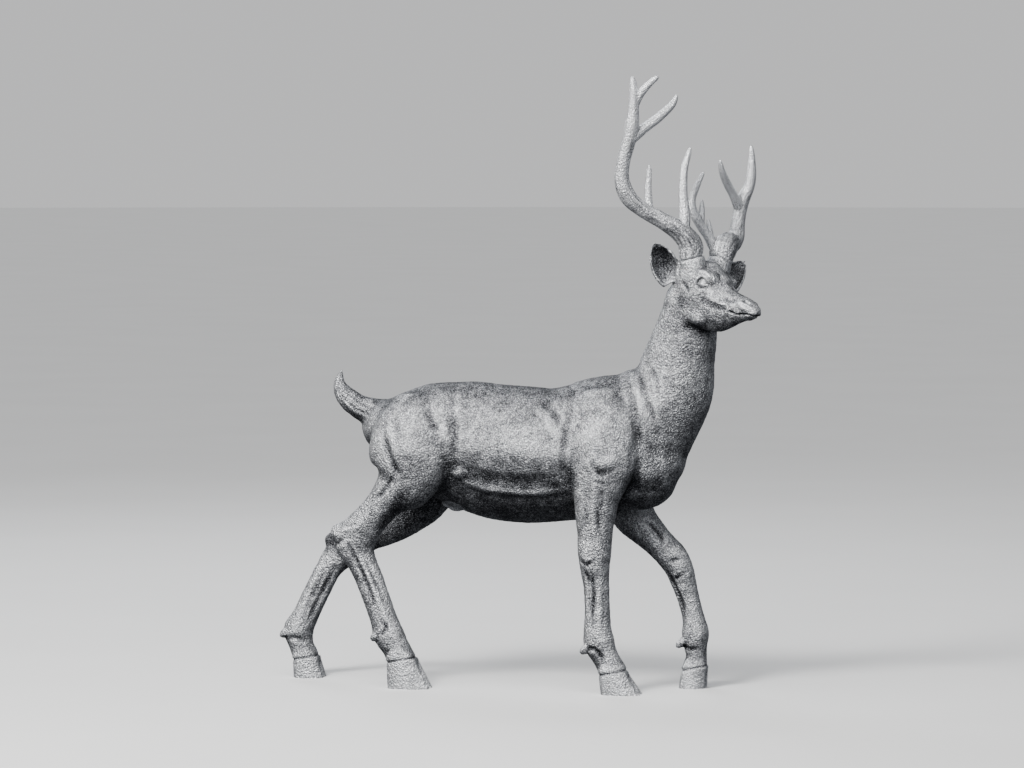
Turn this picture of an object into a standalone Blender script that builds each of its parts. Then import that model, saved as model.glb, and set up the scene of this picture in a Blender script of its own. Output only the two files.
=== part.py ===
"""Deer statue: a life-size standing stag, cast as one body, with two antlers seated on its head.

The figure is drawn in millimetres as it stands with its withers at DRAWN_WITHERS, and every
length of it follows WITHERS_HEIGHT. +X is the way the deer faces, +Y is its left, +Z is up.
"""

import math
from collections import namedtuple

import bmesh
import bpy
import numpy as np
from mathutils import Matrix, Vector

# Driving dimensions, in metres
WITHERS_HEIGHT = 0.834
ANTLER_REACH = 0.472
PEDICLE_RADIUS = 0.032
SEAT_GAP = 0.0003
SEAM_GROOVE = 0.003

# How far the cutters of the seat reach past the pedicle and past the antler's foot, and
# how tall they are
STUMP_MARGIN = 0.012
FOOT_MARGIN = 0.042
SEAT_CUTTER_HEIGHT = 0.08

# The drawing's own sizes, in millimetres, and what turns them into metres
DRAWN_WITHERS = 834.0
DRAWN_ANTLER = 472.0
GROUND_LEVEL = 12.0
MM = WITHERS_HEIGHT / DRAWN_WITHERS
ANTLER_MM = ANTLER_REACH / DRAWN_ANTLER

# Detail of the solids
BODY_VOXEL = 0.0055
HEAD_VOXEL = 0.0042
ANTLER_VOXEL = 0.0036
BODY_TRIANGLES = 6800
ANTLER_TRIANGLES = 1150
SLIVER = 0.0002
RING_SIDES = 28
RING_STEP = 11.0

RIGHT = -1
LEFT = 1

# One ring of a loft: its centre, its half width to the side and its half depth,
# and how far the lower half narrows (1 keeps it a plain oval)
Ring = namedtuple("Ring", "x y z side depth keel", defaults=(1.0,))


# Head pose, in degrees from level and straight ahead
HEAD_YAW = -35.0
HEAD_PITCH = -20.0
HEAD_ROLL = 10.0
EYE_CENTRE = Vector((565, -75, 1092))


def head_axes():
    """Forward, left and up of the head, turned to the deer's right and tipped down."""
    turn = Matrix.Rotation(math.radians(HEAD_YAW), 3, "Z")
    nod = Matrix.Rotation(math.radians(-HEAD_PITCH), 3, "Y")
    tilt = Matrix.Rotation(math.radians(-HEAD_ROLL), 3, "X")
    pose = turn @ nod @ tilt
    return pose.col[0].copy(), pose.col[1].copy(), pose.col[2].copy()


AHEAD, HEAD_LEFT, HEAD_UP = head_axes()
LEVEL_AHEAD = Vector((AHEAD.x, AHEAD.y, 0)).normalized()


def on_head(ahead, left, up):
    """A point given from the middle between the eyes, in the drawing's millimetres."""
    return EYE_CENTRE + AHEAD * float(ahead) + HEAD_LEFT * float(left) + HEAD_UP * float(up)


# Stations of the body, in the drawing's millimetres
TORSO = [
    Ring(-392, 0, 738, 26, 20),
    Ring(-378, 0, 728, 62, 54),
    Ring(-345, 0, 712, 90, 78),
    Ring(-290, 0, 698, 114, 112, 0.92),
    Ring(-225, 0, 686, 126, 142, 0.86),
    Ring(-160, 0, 669, 122, 164, 0.8),
    Ring(-100, 0, 655, 120, 175, 0.78),
    Ring(-30, 0, 640, 129, 182, 0.78),
    Ring(50, 0, 634, 137, 183, 0.8),
    Ring(120, 0, 635, 137, 178, 0.8),
    Ring(190, 0, 645, 128, 181, 0.78),
    Ring(250, 0, 658, 118, 188, 0.76),
    Ring(310, 0, 660, 108, 186, 0.76),
    Ring(370, 0, 640, 92, 150, 0.8),
    Ring(420, 0, 650, 70, 92),
    Ring(455, 0, 660, 44, 52),
    Ring(472, 0, 664, 12, 14),
]

NECK = [
    Ring(292, 0, 650, 100, 160, 0.9),
    Ring(370, 0, 738, 96, 144, 0.88),
    Ring(430, 0, 812, 84, 115, 0.9),
    Ring(452, -4, 891, 73, 97),
    Ring(471, -12, 962, 65, 85),
    Ring(484, -24, 1020, 59, 74),
    Ring(492, -33, 1065, 54, 68),
    Ring(500, -36, 1100, 42, 44),
]

TAIL = [
    Ring(-340, 0, 742, 30, 36),
    Ring(-385, 0, 743, 34, 39),
    Ring(-422, 0, 757, 32, 33),
    Ring(-450, 0, 778, 28, 31),
    Ring(-468, 0, 800, 22, 24),
    Ring(-475, 0, 826, 14, 15),
    Ring(-469, 0, 850, 7, 8),
    Ring(-464, 0, 864, 2, 2),
]

# Head rings: x is ahead of the eyes, y is left, z is up, all in the head's own axes
SKULL = [
    Ring(-122, 0, -18, 20, 20),
    Ring(-108, 0, -20, 44, 44),
    Ring(-78, 0, -26, 60, 76, 0.9),
    Ring(-45, 0, -34, 61, 84, 0.86),
    Ring(-12, 0, -40, 55, 80, 0.82),
    Ring(20, 0, -44, 47, 76, 0.77),
    Ring(48, 0, -43, 41, 67, 0.75),
    Ring(75, 0, -36, 35, 53, 0.76),
    Ring(100, 0, -26, 31, 40, 0.8),
    Ring(124, 0, -18, 29, 31, 0.86),
    Ring(145, 0, -15, 26, 23, 0.9),
    Ring(159, 0, -14, 20, 16),
    Ring(167, 0, -14, 8, 8),
]

RIGHT_FORELEG = [
    Ring(246, -54, 812, 26, 46),
    Ring(252, -72, 752, 46, 84),
    Ring(262, -86, 684, 55, 95),
    Ring(264, -94, 622, 55, 90),
    Ring(258, -99, 572, 49, 73),
    Ring(250, -101, 530, 44, 62),
    Ring(246, -101, 480, 40, 54),
    Ring(245, -101, 430, 36, 47),
    Ring(244, -101, 388, 38, 45),
    Ring(245, -101, 346, 35, 40),
    Ring(249, -101, 300, 29, 35),
    Ring(252, -101, 236, 28, 34),
    Ring(252, -101, 186, 31, 37),
    Ring(257, -101, 146, 34, 42),
    Ring(270, -101, 116, 31, 36),
    Ring(284, -101, 90, 31, 35),
    Ring(296, -101, 66, 35, 38),
    Ring(306, -101, 36, 26, 30),
]

LEFT_FORELEG = [
    Ring(246, 54, 812, 26, 46),
    Ring(254, 72, 752, 46, 84),
    Ring(268, 84, 684, 55, 95),
    Ring(282, 90, 622, 55, 88),
    Ring(288, 92, 560, 49, 76),
    Ring(300, 90, 505, 44, 66),
    Ring(318, 86, 466, 42, 58),
    Ring(353, 82, 429, 38, 47),
    Ring(390, 80, 392, 36, 41),
    Ring(422, 78, 360, 38, 41),
    Ring(443, 78, 321, 34, 37),
    Ring(463, 78, 257, 28, 30),
    Ring(478, 78, 200, 29, 30),
    Ring(484, 78, 158, 34, 37),
    Ring(484, 78, 126, 32, 32),
    Ring(487, 78, 96, 29, 28),
    Ring(482, 78, 62, 34, 33),
    Ring(478, 78, 34, 26, 24),
]

RIGHT_HIND_LEG = [
    Ring(-262, -50, 792, 30, 40),
    Ring(-258, -68, 738, 56, 88),
    Ring(-259, -80, 672, 66, 110),
    Ring(-262, -87, 612, 62, 110),
    Ring(-276, -91, 562, 52, 86),
    Ring(-313, -92, 522, 43, 55),
    Ring(-347, -91, 484, 38, 46),
    Ring(-384, -90, 440, 33, 50),
    Ring(-410, -89, 400, 31, 56),
    Ring(-394, -88, 354, 29, 41),
    Ring(-372, -88, 305, 27, 38),
    Ring(-351, -88, 249, 27, 37),
    Ring(-331, -88, 194, 29, 37),
    Ring(-318, -88, 154, 33, 42),
    Ring(-297, -88, 118, 30, 37),
    Ring(-281, -88, 80, 35, 40),
    Ring(-270, -88, 46, 26, 32),
]

LEFT_HIND_LEG = [
    Ring(-262, 50, 792, 30, 40),
    Ring(-258, 68, 738, 56, 88),
    Ring(-256, 80, 672, 66, 110),
    Ring(-250, 87, 612, 62, 106),
    Ring(-245, 91, 556, 52, 88),
    Ring(-262, 92, 500, 44, 66),
    Ring(-304, 92, 455, 40, 50),
    Ring(-358, 91, 422, 37, 44),
    Ring(-415, 90, 400, 33, 42),
    Ring(-470, 89, 368, 31, 46),
    Ring(-503, 88, 340, 30, 42),
    Ring(-530, 88, 304, 28, 35),
    Ring(-565, 88, 237, 27, 35),
    Ring(-596, 88, 172, 30, 36),
    Ring(-612, 88, 138, 33, 42),
    Ring(-604, 88, 98, 30, 34),
    Ring(-590, 88, 62, 34, 35),
    Ring(-584, 88, 34, 26, 26),
]

# Hooves: where the leg ends, where the sole's middle stands, the side it is on, the half
# lengths at the coronet and at the sole
Hoof = namedtuple("Hoof", "top sole y top_half sole_half")
HOOVES = [
    Hoof((294, 70), (322, 0), -101, 38, 56),
    Hoof((483, 66), (476, 0), 78, 34, 36),
    Hoof((-281, 88), (-256, 0), -88, 41, 60),
    Hoof((-590, 66), (-578, 0), 88, 36, 42),
]
CLAW_SPREAD = 18.0
CLAW_HALF_WIDTH = 22.0

# How far down the hoof each ring of a claw is, 1 at the sole, and how full it is there
CLAW_PROFILE = [
    (-0.5, 0.5),
    (-0.32, 0.74),
    (-0.16, 0.9),
    (0, 1.0),
    (0.1, 0.96),
    (0.5, 0.99),
    (1, 1),
    (1.3, 1),
]

# How square a claw is behind, how much its toe narrows, and its width at the coronet
CLAW_SQUARENESS = 0.9
TOE_TAPER = 0.4
CORONET_WIDTH = 0.9


def smooth_between(values, count):
    """Catmull-Rom rows through the given rows, about `count` of them, ends included."""
    rows = np.asarray(values, float)
    padded = np.vstack([2 * rows[0] - rows[1], rows, 2 * rows[-1] - rows[-2]])
    places = np.linspace(0, len(rows) - 1, count)
    span = np.minimum(places.astype(int), len(rows) - 2)
    t = (places - span)[:, None]
    a, b, c, d = (padded[span + k] for k in range(4))
    return 0.5 * (
        2 * b + (c - a) * t + (2 * a - 5 * b + 4 * c - d) * t**2 + (3 * b - a - 3 * c + d) * t**3
    )


def oval(side_axis, depth_axis, side, depth, keel):
    """Points of an oval whose lower half is narrowed by `keel`."""
    angles = np.linspace(0, 2 * math.pi, RING_SIDES, endpoint=False)
    low = np.clip(-np.sin(angles), 0, 1)
    narrow = 1 + (keel - 1) * low
    across = (side * narrow * np.cos(angles))[:, None] * np.asarray(side_axis)
    along = (depth * np.sin(angles))[:, None] * np.asarray(depth_axis)
    return across + along


def mesh_of_rings(rings):
    """A closed tube through rings of points, with a fan at each end."""
    shape = bmesh.new()
    loops = [[shape.verts.new(Vector(point) * MM) for point in ring] for ring in rings]
    for low, high in zip(loops, loops[1:]):
        for i in range(RING_SIDES):
            j = (i + 1) % RING_SIDES
            shape.faces.new((low[i], low[j], high[j], high[i]))
    shape.faces.new(reversed(loops[0]))
    shape.faces.new(loops[-1])
    bmesh.ops.recalc_face_normals(shape, faces=shape.faces)
    return shape


def as_object(name, shape, home):
    mesh = bpy.data.meshes.new(name)
    shape.to_mesh(mesh)
    shape.free()
    piece = bpy.data.objects.new(name, mesh)
    home.objects.link(piece)
    return piece


def loft(name, stations, home, side_axis=(0, 1, 0), place=None, carry=False):
    """A tube through the stations, each ring square to the way the path runs.

    The rings keep to the side axis, or with `carry` each turns on from the one before it.
    """
    rows = np.array([tuple(s) for s in stations], float)
    if place:
        rows[:, :3] = [place(*row[:3]) for row in rows]
    length = np.linalg.norm(np.diff(rows[:, :3], axis=0), axis=1).sum()
    rows = smooth_between(rows, max(len(rows) + 2, int(length / RING_STEP)))
    runs = np.gradient(rows[:, :3], axis=0)
    axis = Vector(side_axis)
    rings = []
    for row, run in zip(rows, runs):
        run = Vector(run).normalized()
        side = (axis - run * axis.dot(run)).normalized()
        depth = run.cross(side)
        rings.append(row[:3] + oval(side, depth, abs(row[3]), abs(row[4]), row[5]))
        if carry:
            axis = side
    return as_object(name, mesh_of_rings(rings), home)


def ball(name, centre, radii, home, axes=None):
    """An ellipsoid, its radii in the drawing's millimetres along X, Y, Z or the given axes."""
    shape = bmesh.new()
    bmesh.ops.create_uvsphere(shape, u_segments=24, v_segments=14, radius=1)
    stretch = Matrix.Diagonal((*radii, 1))
    turn = Matrix(axes).transposed().to_4x4() if axes else Matrix.Identity(4)
    move = Matrix.Translation(Vector(centre))
    bmesh.ops.transform(shape, matrix=Matrix.Scale(MM, 4) @ move @ turn @ stretch, verts=shape.verts)
    return as_object(name, shape, home)


def claw(name, hoof, offset, home):
    """One of the two toes of a hoof: a wedge from the coronet down through the ground."""
    (top_x, top_z), (sole_x, _) = hoof.top, hoof.sole
    y = hoof.y + offset
    angles = np.linspace(0, 2 * math.pi, RING_SIDES, endpoint=False)
    blunt = np.sign(np.cos(angles)) * np.abs(np.cos(angles)) ** CLAW_SQUARENESS
    toe = 1 - TOE_TAPER * np.clip(blunt, 0, 1) ** 2
    rings = []
    for fall, full in CLAW_PROFILE:
        z = top_z * (1 - fall)
        x = top_x + fall * (sole_x - top_x)
        half = full * (hoof.top_half + fall * (hoof.sole_half - hoof.top_half))
        width = full * CLAW_HALF_WIDTH * (CORONET_WIDTH + (1 - CORONET_WIDTH) * fall)
        ring = np.stack(
            [x + half * blunt, y + width * toe * np.sin(angles), np.full(RING_SIDES, z)], axis=1
        )
        rings.append(ring)
    return as_object(name, mesh_of_rings(rings), home)


def hoof_pieces(home):
    made = []
    for number, hoof in enumerate(HOOVES):
        for side in (RIGHT, LEFT):
            made.append(claw(f"claw_{number}_{side}", hoof, side * CLAW_SPREAD, home))
    return made


# Dewclaws: middle of each pair, just behind and below the fetlock
DEWCLAWS = [(224, -101, 132), (450, 78, 134), (-348, -88, 152), (-644, 88, 134)]
DEWCLAW_SPREAD = 17.0
DEWCLAW_RADII = (20, 10, 12)
DEWCLAW_LEAN = Vector((-0.75, 0, -0.66)).normalized()


def dewclaw_pieces(home):
    across = Vector((0, 1, 0))
    axes = (DEWCLAW_LEAN, across, DEWCLAW_LEAN.cross(across))
    made = []
    for number, (x, y, z) in enumerate(DEWCLAWS):
        for side in (RIGHT, LEFT):
            centre = (x, y + side * DEWCLAW_SPREAD, z)
            made.append(ball(f"dewclaw_{number}_{side}", centre, DEWCLAW_RADII, home, axes))
    return made


# The hocks: the point of each, and where the tendon that runs up from it leaves the leg
HOCKS = {
    "right": ((-450, -89, 424), (-364, -89, 494)),
    "left": ((-512, 89, 384), (-420, 89, 426)),
}
HOCK_RADII = (27, 20, 26)

# How far along the tendon each section is, from its top, and its half width and half depth
TENDON_SECTIONS = [(0, 13, 22), (0.5, 14, 20), (1, 17, 22)]


def hock_pieces(home):
    """The point of each hock, with the tendon that runs up from it."""
    made = []
    for name, (tip, above) in HOCKS.items():
        made.append(ball(f"hock_{name}", tip, HOCK_RADII, home))
        top = Vector(above)
        cord = [
            Ring(*top.lerp(Vector(tip), share), side, depth)
            for share, side, depth in TENDON_SECTIONS
        ]
        made.append(loft(f"tendon_{name}", cord, home))
    return made


# The ears are cups: how deep one is for its width, how thick its wall is at the root and
# at the tip, and where along it the hollow starts
EAR_DEPTH = 0.62
EAR_ROOT_WALL = 15.0
EAR_TIP_WALL = 6.0
EAR_HOLLOW_START = 0.22
EAR_STEPS = 14

# How full the leaf is at its root, how quickly it fills out, how little is left of it at
# the tip, how much thicker its back is at the root, how far its rims stand forward and how
# wide its hollow is
EAR_ROOT_FULLNESS = 0.22
EAR_SWELL = 0.7
EAR_TIP_FULLNESS = 0.03
EAR_ROOT_BACK = 5.0
EAR_RIM_LIFT = 0.16
EAR_INNER_WIDTH = 0.84


def leaf_fullness(share):
    """How wide an ear is for its full width, from 0 at its root to 1 at its tip."""
    if share >= 1:
        return EAR_TIP_FULLNESS
    along = EAR_ROOT_FULLNESS + (1 - EAR_ROOT_FULLNESS) * share
    return math.sin(math.pi * along) ** EAR_SWELL


def ear(name, root, tip, facing, width, home):
    """A leaf-shaped cup: rings of a crescent that open towards `facing`."""
    axis = (tip - root).normalized()
    facing = (facing - axis * axis.dot(facing)).normalized()
    across = axis.cross(facing)
    arc = np.linspace(0, math.pi, RING_SIDES // 2)
    rings = []
    for share in np.linspace(0, 1, EAR_STEPS):
        centre = root + (tip - root) * float(share)
        half = width * leaf_fullness(share)
        back = EAR_DEPTH * half + EAR_ROOT_BACK * (1 - share)
        wall = EAR_ROOT_WALL + (EAR_TIP_WALL - EAR_ROOT_WALL) * share
        hollow = max(0, back - wall) * min(1, share / EAR_HOLLOW_START)
        lift = EAR_RIM_LIFT * half
        outer = [centre + across * (half * math.cos(a)) - facing * (back * math.sin(a)) for a in arc]
        inner = [
            centre
            + across * (EAR_INNER_WIDTH * half * math.cos(a))
            - facing * (hollow * math.sin(a) - lift * (1 - math.sin(a)))
            for a in arc[::-1]
        ]
        rings.append(np.array(outer + inner))
    return as_object(name, mesh_of_rings(rings), home)


# Rounded forms of the head, each made on both sides: (ahead, left, up) and its radii
HEAD_FORMS = {
    "brow": ((-8, 38, 17), (36, 19, 15)),
    "temple": ((-70, 36, 2), (50, 36, 42)),
    "cheek": ((14, 34, -30), (52, 16, 20)),
    "jaw": ((-22, 28, -84), (58, 17, 34)),
    "lip": ((128, 15, -10), (30, 15, 18)),
    "chin": ((122, 7, -36), (28, 13, 11)),
}
EYE = ((-3, 46, -4), (14, 11, 10))


def head_form(name, form, home):
    """The same rounded form on the right and on the left of the head."""
    (ahead, left, up), radii = form
    axes = (AHEAD, HEAD_LEFT, HEAD_UP)
    return [
        ball(f"{name}_{hand}", on_head(ahead, hand * left, up), radii, home, axes)
        for hand in (RIGHT, LEFT)
    ]


def head_pieces(home):
    made = [loft("skull", SKULL, home, side_axis=HEAD_LEFT, place=on_head)]
    for name, form in HEAD_FORMS.items():
        made += head_form(name, form, home)
    return made


def eye_pieces(home):
    return head_form("eye", EYE, home)


# The ears: where each is rooted on the head, how far its tip is out to its own side, back
# and up from there, which way it opens in the same terms, and its half width
Ear = namedtuple("Ear", "root tip opens width")
EARS = {
    RIGHT: Ear((-94, -60, -38), (44, 26, 106), (0.68, -0.73, 0), 39),
    LEFT: Ear((-60, 70, -44), (108, -14, 92), (-0.2, -0.7, 0.6), 42),
}


def side_axes(hand):
    """Level directions of the head: out to one side, and back."""
    back = -LEVEL_AHEAD
    out = Vector((-LEVEL_AHEAD.y, LEVEL_AHEAD.x, 0)) * hand
    return out, back


def ear_pieces(home):
    """The right ear stands up and back, the left one is turned out to the side."""
    up = Vector((0, 0, 1))
    made = []
    for hand, form in EARS.items():
        out, back = side_axes(hand)
        root = on_head(*form.root)
        tip = root + form.tip[0] * out + form.tip[1] * back + form.tip[2] * up
        opens = form.opens[0] * out + form.opens[1] * back + form.opens[2] * up
        name = "ear_right" if hand == RIGHT else "ear_left"
        made.append(ear(name, root, tip, opens, form.width, home))
    return made


# Antlers: each point is (away from the middle line, back, up, radius) from its seat
RIGHT_BEAM = [
    (-6, -3, -30, 32),
    (1, 1, 6, 32),
    (3, 2, 34, 32),
    (22, 18, 66, 27),
    (62, 44, 96, 22),
    (108, 74, 126, 20),
    (143, 92, 160, 22),
    (160, 98, 205, 20),
    (163, 90, 250, 18),
    (160, 75, 298, 18),
    (158, 64, 340, 19),
    (160, 56, 386, 15),
    (164, 51, 427, 13),
    (168, 49, 456, 9),
    (170, 48, 472, 4),
]
RIGHT_TINES = [
    [
        (20, 10, 70, 16),
        (12, 14, 110, 15),
        (10, 22, 170, 12),
        (4, 24, 230, 10),
        (-10, 22, 270, 7),
        (-14, 20, 288, 3),
    ],
    [(92, 62, 112, 12), (92, 68, 145, 11), (93, 68, 190, 9), (92, 66, 226, 7), (90, 66, 243, 3)],
    [
        (152, 66, 316, 16),
        (118, 50, 343, 13),
        (86, 38, 366, 12),
        (52, 26, 396, 10),
        (40, 22, 414, 7),
        (36, 20, 426, 3),
    ],
    [(160, 56, 390, 12), (152, 42, 424, 11), (138, 22, 452, 9), (127, 8, 467, 7), (121, 2, 473, 3)],
]
LEFT_BEAM = [
    (-22, -3, -30, 32),
    (4, 1, 6, 33),
    (15, 3, 32, 36),
    (54, 24, 47, 31),
    (94, 48, 47, 26),
    (121, 58, 65, 22),
    (133, 64, 97, 19),
    (143, 65, 133, 18),
    (151, 60, 165, 18),
    (161, 50, 195, 15),
    (164, 45, 227, 14),
    (164, 43, 267, 10),
    (162, 42, 291, 7),
    (161, 42, 305, 3),
]
LEFT_TINES = [
    [
        (1, 17, 34, 16),
        (-19, 24, 67, 13),
        (-41, 32, 97, 12),
        (-57, 44, 135, 12),
        (-57, 47, 165, 10),
        (-51, 41, 191, 9),
        (-40, 34, 219, 7),
        (-31, 29, 237, 3),
    ],
    [
        (143, 65, 135, 15),
        (113, 61, 175, 12),
        (85, 57, 205, 11),
        (61, 51, 235, 9),
        (51, 48, 257, 6),
        (47, 46, 267, 3),
    ],
    [(-1, 32, 42, 11), (3, 38, 71, 9), (3, 44, 97, 7), (3, 48, 113, 3)],
    [(-37, 30, 87, 10), (-31, 38, 117, 9), (-27, 40, 145, 7), (-27, 40, 163, 3)],
]

# Up to this height over its seat an antler keeps the radius of the pedicle
FOOT_RISE = 6

Seat = namedtuple("Seat", "centre normal out back")

# Where each antler stands on the head, and how far its seat leans out and back
SEATS = {
    RIGHT: ((-77, -47, 42), 0.22, 0.13),
    LEFT: ((-70, 57, 48), 0.72, 0.1),
}


def seat(hand):
    """Where an antler stands on its pedicle, and the way its face looks."""
    out, back = side_axes(hand)
    place, lean_out, lean_back = SEATS[hand]
    normal = (lean_out * out + lean_back * back + Vector((0, 0, 1))).normalized()
    return Seat(on_head(*place), normal, out, back)


# The stump under each antler: how far it reaches down into the head and up past its seat,
# and how much wider than the seat it is along the way
PEDICLE_DEPTH = 56.0
PEDICLE_RISE = 14.0
PEDICLE_FLARE = [(0, -14), (0.3, 3), (0.6, 2), (1, 0)]


def pedicle_pieces(home):
    made = []
    radius = PEDICLE_RADIUS / MM
    for name, hand in (("right", RIGHT), ("left", LEFT)):
        place = seat(hand)
        low = place.centre - PEDICLE_DEPTH * place.normal
        high = place.centre + PEDICLE_RISE * place.normal
        stump = [
            Ring(*low.lerp(high, share), radius + flare, radius + flare)
            for share, flare in PEDICLE_FLARE
        ]
        made.append(loft(f"pedicle_{name}", stump, home, side_axis=AHEAD))
    return made


def seat_block(name, place, sign, reach, home):
    """A cylinder that stands on the seat plane, above it or below it, to cut with."""
    shape = bmesh.new()
    depth = SEAT_CUTTER_HEIGHT
    bmesh.ops.create_cone(
        shape, cap_ends=True, segments=48, radius1=reach, radius2=reach, depth=depth
    )
    turn = place.normal.to_track_quat("Z", "Y").to_matrix().to_4x4()
    shift = depth / 2 - SEAT_GAP / 2
    centre = place.centre * MM + sign * shift * place.normal
    bmesh.ops.transform(shape, matrix=Matrix.Translation(centre) @ turn, verts=shape.verts)
    return as_object(name, shape, home)


def seam_ring(name, place, home):
    """A ring on the edge of the seat, which cuts the groove that the seam lies in."""
    bpy.ops.mesh.primitive_torus_add(
        major_segments=24,
        minor_segments=4,
        major_radius=PEDICLE_RADIUS + SEAM_GROOVE,
        minor_radius=2 * SEAM_GROOVE,
    )
    ring = bpy.context.object
    ring.name = name
    turn = place.normal.to_track_quat("Z", "Y").to_matrix().to_4x4()
    ring.data.transform(Matrix.Translation(place.centre * MM) @ turn)
    for owner in list(ring.users_collection):
        owner.objects.unlink(ring)
    home.objects.link(ring)
    return ring


def antler_pieces(hand, home):
    """The beam and tines as tubes from the seat, all inside one another at their roots."""
    place = seat(hand)
    beam, tines = (RIGHT_BEAM, RIGHT_TINES) if hand == RIGHT else (LEFT_BEAM, LEFT_TINES)
    scale = ANTLER_MM / MM
    base = PEDICLE_RADIUS / MM
    name = "right" if hand == RIGHT else "left"
    up = Vector((0, 0, 1))

    def point(out, back, rise):
        return place.centre + scale * (out * place.out + back * place.back + rise * up)

    rods = [beam] + tines
    made = []
    for number, rod in enumerate(rods):
        stations = []
        for out, back, rise, radius in rod:
            thick = radius * scale
            if number == 0 and rise <= FOOT_RISE:
                thick = base
            stations.append(Ring(*point(out, back, rise), thick, thick))
        rod_name = f"{name}_rod_{number}"
        made.append(loft(rod_name, stations, home, side_axis=place.back, carry=True))
    return made


def join(pieces):
    """One object from several, still loose inside it."""
    joined = bmesh.new()
    for piece in pieces:
        joined.from_mesh(piece.data)
    first = pieces[0]
    joined.to_mesh(first.data)
    joined.free()
    for piece in pieces[1:]:
        bpy.data.objects.remove(piece)
    return first


def settle(piece):
    """Turns an object's modifiers into its mesh."""
    graph = bpy.context.evaluated_depsgraph_get()
    mesh = bpy.data.meshes.new_from_object(piece.evaluated_get(graph))
    piece.modifiers.clear()
    piece.data = mesh
    return piece


def fuse(pieces, voxel):
    piece = join(pieces)
    remesh = piece.modifiers.new("fuse", "REMESH")
    remesh.mode = "VOXEL"
    remesh.voxel_size = voxel
    return settle(piece)


def relax(piece, rounds, weight=None, shrink_back=True):
    """Evens the surface out; each second pass pushes back what the first one shrank."""
    mesh = piece.data
    points = np.empty(len(mesh.vertices) * 3)
    mesh.vertices.foreach_get("co", points)
    points = points.reshape(-1, 3)
    ends = np.empty(len(mesh.edges) * 2, int)
    mesh.edges.foreach_get("vertices", ends)
    ends = ends.reshape(-1, 2)
    count = np.bincount(ends.ravel(), minlength=len(points))[:, None]
    amount = np.ones((len(points), 1)) if weight is None else weight(points)[:, None]
    for _ in range(rounds):
        for step in (0.5, -0.52) if shrink_back else (0.5,):
            total = np.zeros_like(points)
            for axis in range(3):
                total[:, axis] += np.bincount(ends[:, 0], points[ends[:, 1], axis], len(points))
                total[:, axis] += np.bincount(ends[:, 1], points[ends[:, 0], axis], len(points))
            points = points + step * amount * (total / count - points)
    mesh.vertices.foreach_set("co", points.ravel())
    mesh.update()


def thin(piece, triangles):
    """Fewer triangles, with the slivers that thinning leaves taken out."""
    piece.data.calc_loop_triangles()
    decimate = piece.modifiers.new("thin", "DECIMATE")
    decimate.ratio = min(1, triangles / len(piece.data.loop_triangles))
    decimate.use_collapse_triangulate = True
    settle(piece)
    shape = bmesh.new()
    shape.from_mesh(piece.data)
    bmesh.ops.dissolve_degenerate(shape, dist=SLIVER, edges=shape.edges)
    bmesh.ops.triangulate(shape, faces=shape.faces)
    shape.to_mesh(piece.data)
    shape.free()
    return piece


def cut(piece, cutter):
    boolean = piece.modifiers.new(cutter.name, "BOOLEAN")
    boolean.operation = "DIFFERENCE"
    boolean.solver = "EXACT"
    boolean.use_self = True
    boolean.object = cutter


# Carving on the sides, drawn on the side view: points are (ahead, up) in the drawing's
# millimetres. A stroke is a groove where its depth is positive and a ridge where negative
Stroke = namedtuple("Stroke", "points width depth")
SIDE_STROKES = [
    Stroke([(-322, 712), (-318, 687), (-305, 645), (-288, 608), (-261, 579)], 30, 8.2),
    Stroke([(-212, 765), (-196, 730), (-174, 695)], 22, 4.5),
    Stroke([(-152, 790), (-134, 715), (-134, 647), (-142, 608)], 30, 6.8),
    Stroke([(-178, 770), (-160, 715), (-158, 650)], 25, -3.8),
    Stroke([(176, 806), (173, 744), (169, 694), (164, 610), (172, 570)], 25, 6.8),
    Stroke([(92, 792), (138, 750), (168, 705)], 22, 5.2),
    Stroke([(70, 780), (112, 742), (146, 690)], 25, -3.8),
    Stroke([(318, 846), (339, 788), (352, 735), (360, 688), (336, 620)], 28, 6.8),
    Stroke([(352, 872), (374, 811), (391, 768), (410, 706)], 21, 5.2),
    Stroke([(374, 886), (400, 850), (418, 800)], 18, 3.8),
    Stroke([(335, 858), (358, 800), (374, 745)], 18, -3),
    Stroke([(-134, 586), (-96, 560), (-40, 543), (63, 534), (133, 541), (172, 548)], 32, 6),
    Stroke([(-130, 612), (-98, 585), (-42, 569), (63, 560), (133, 567)], 22, -3),
    Stroke([(240, 640), (262, 603), (292, 606)], 16, 4.5),
    Stroke([(253, 594), (250, 500), (250, 440)], 14, -3.8),
    Stroke([(228, 585), (228, 500), (230, 430)], 12, 3),
    Stroke([(276, 575), (270, 500), (264, 440)], 12, 3),
]

# Swellings on the sides: the middle, the half lengths and how far they stand out
Swelling = namedtuple("Swelling", "x z long high out")
SIDE_SWELLINGS = [
    Swelling(-250, 655, 62, 80, 7),
    Swelling(-120, 590, 30, 20, 6),
    Swelling(250, 700, 62, 70, 6),
    Swelling(262, 625, 50, 34, 6),
    Swelling(292, 630, 30, 28, 4),
    Swelling(376, 590, 46, 44, 9),
    Swelling(338, 534, 32, 26, 5),
    Swelling(60, 680, 110, 70, 4),
]


def distance_to_line(points, line):
    best = np.full(len(points), np.inf)
    for start, end in zip(line[:-1], line[1:]):
        run = end - start
        share = np.clip((points - start) @ run / (run @ run), 0, 1)
        best = np.minimum(best, np.linalg.norm(points - start - share[:, None] * run, axis=1))
    return best


# Over what share of its length a stroke fades at each end, and what is left of it there
FADE_SHARE = 0.3
FADE_LEAST = 0.25


def ends_fade(points, line):
    """Lets a stroke run out softly at both of its ends."""
    reach = FADE_SHARE * np.linalg.norm(line[-1] - line[0])
    fade = np.ones(len(points))
    for end in (line[0], line[-1]):
        fade *= np.clip(np.linalg.norm(points - end, axis=1) / reach, FADE_LEAST, 1)
    return fade


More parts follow.
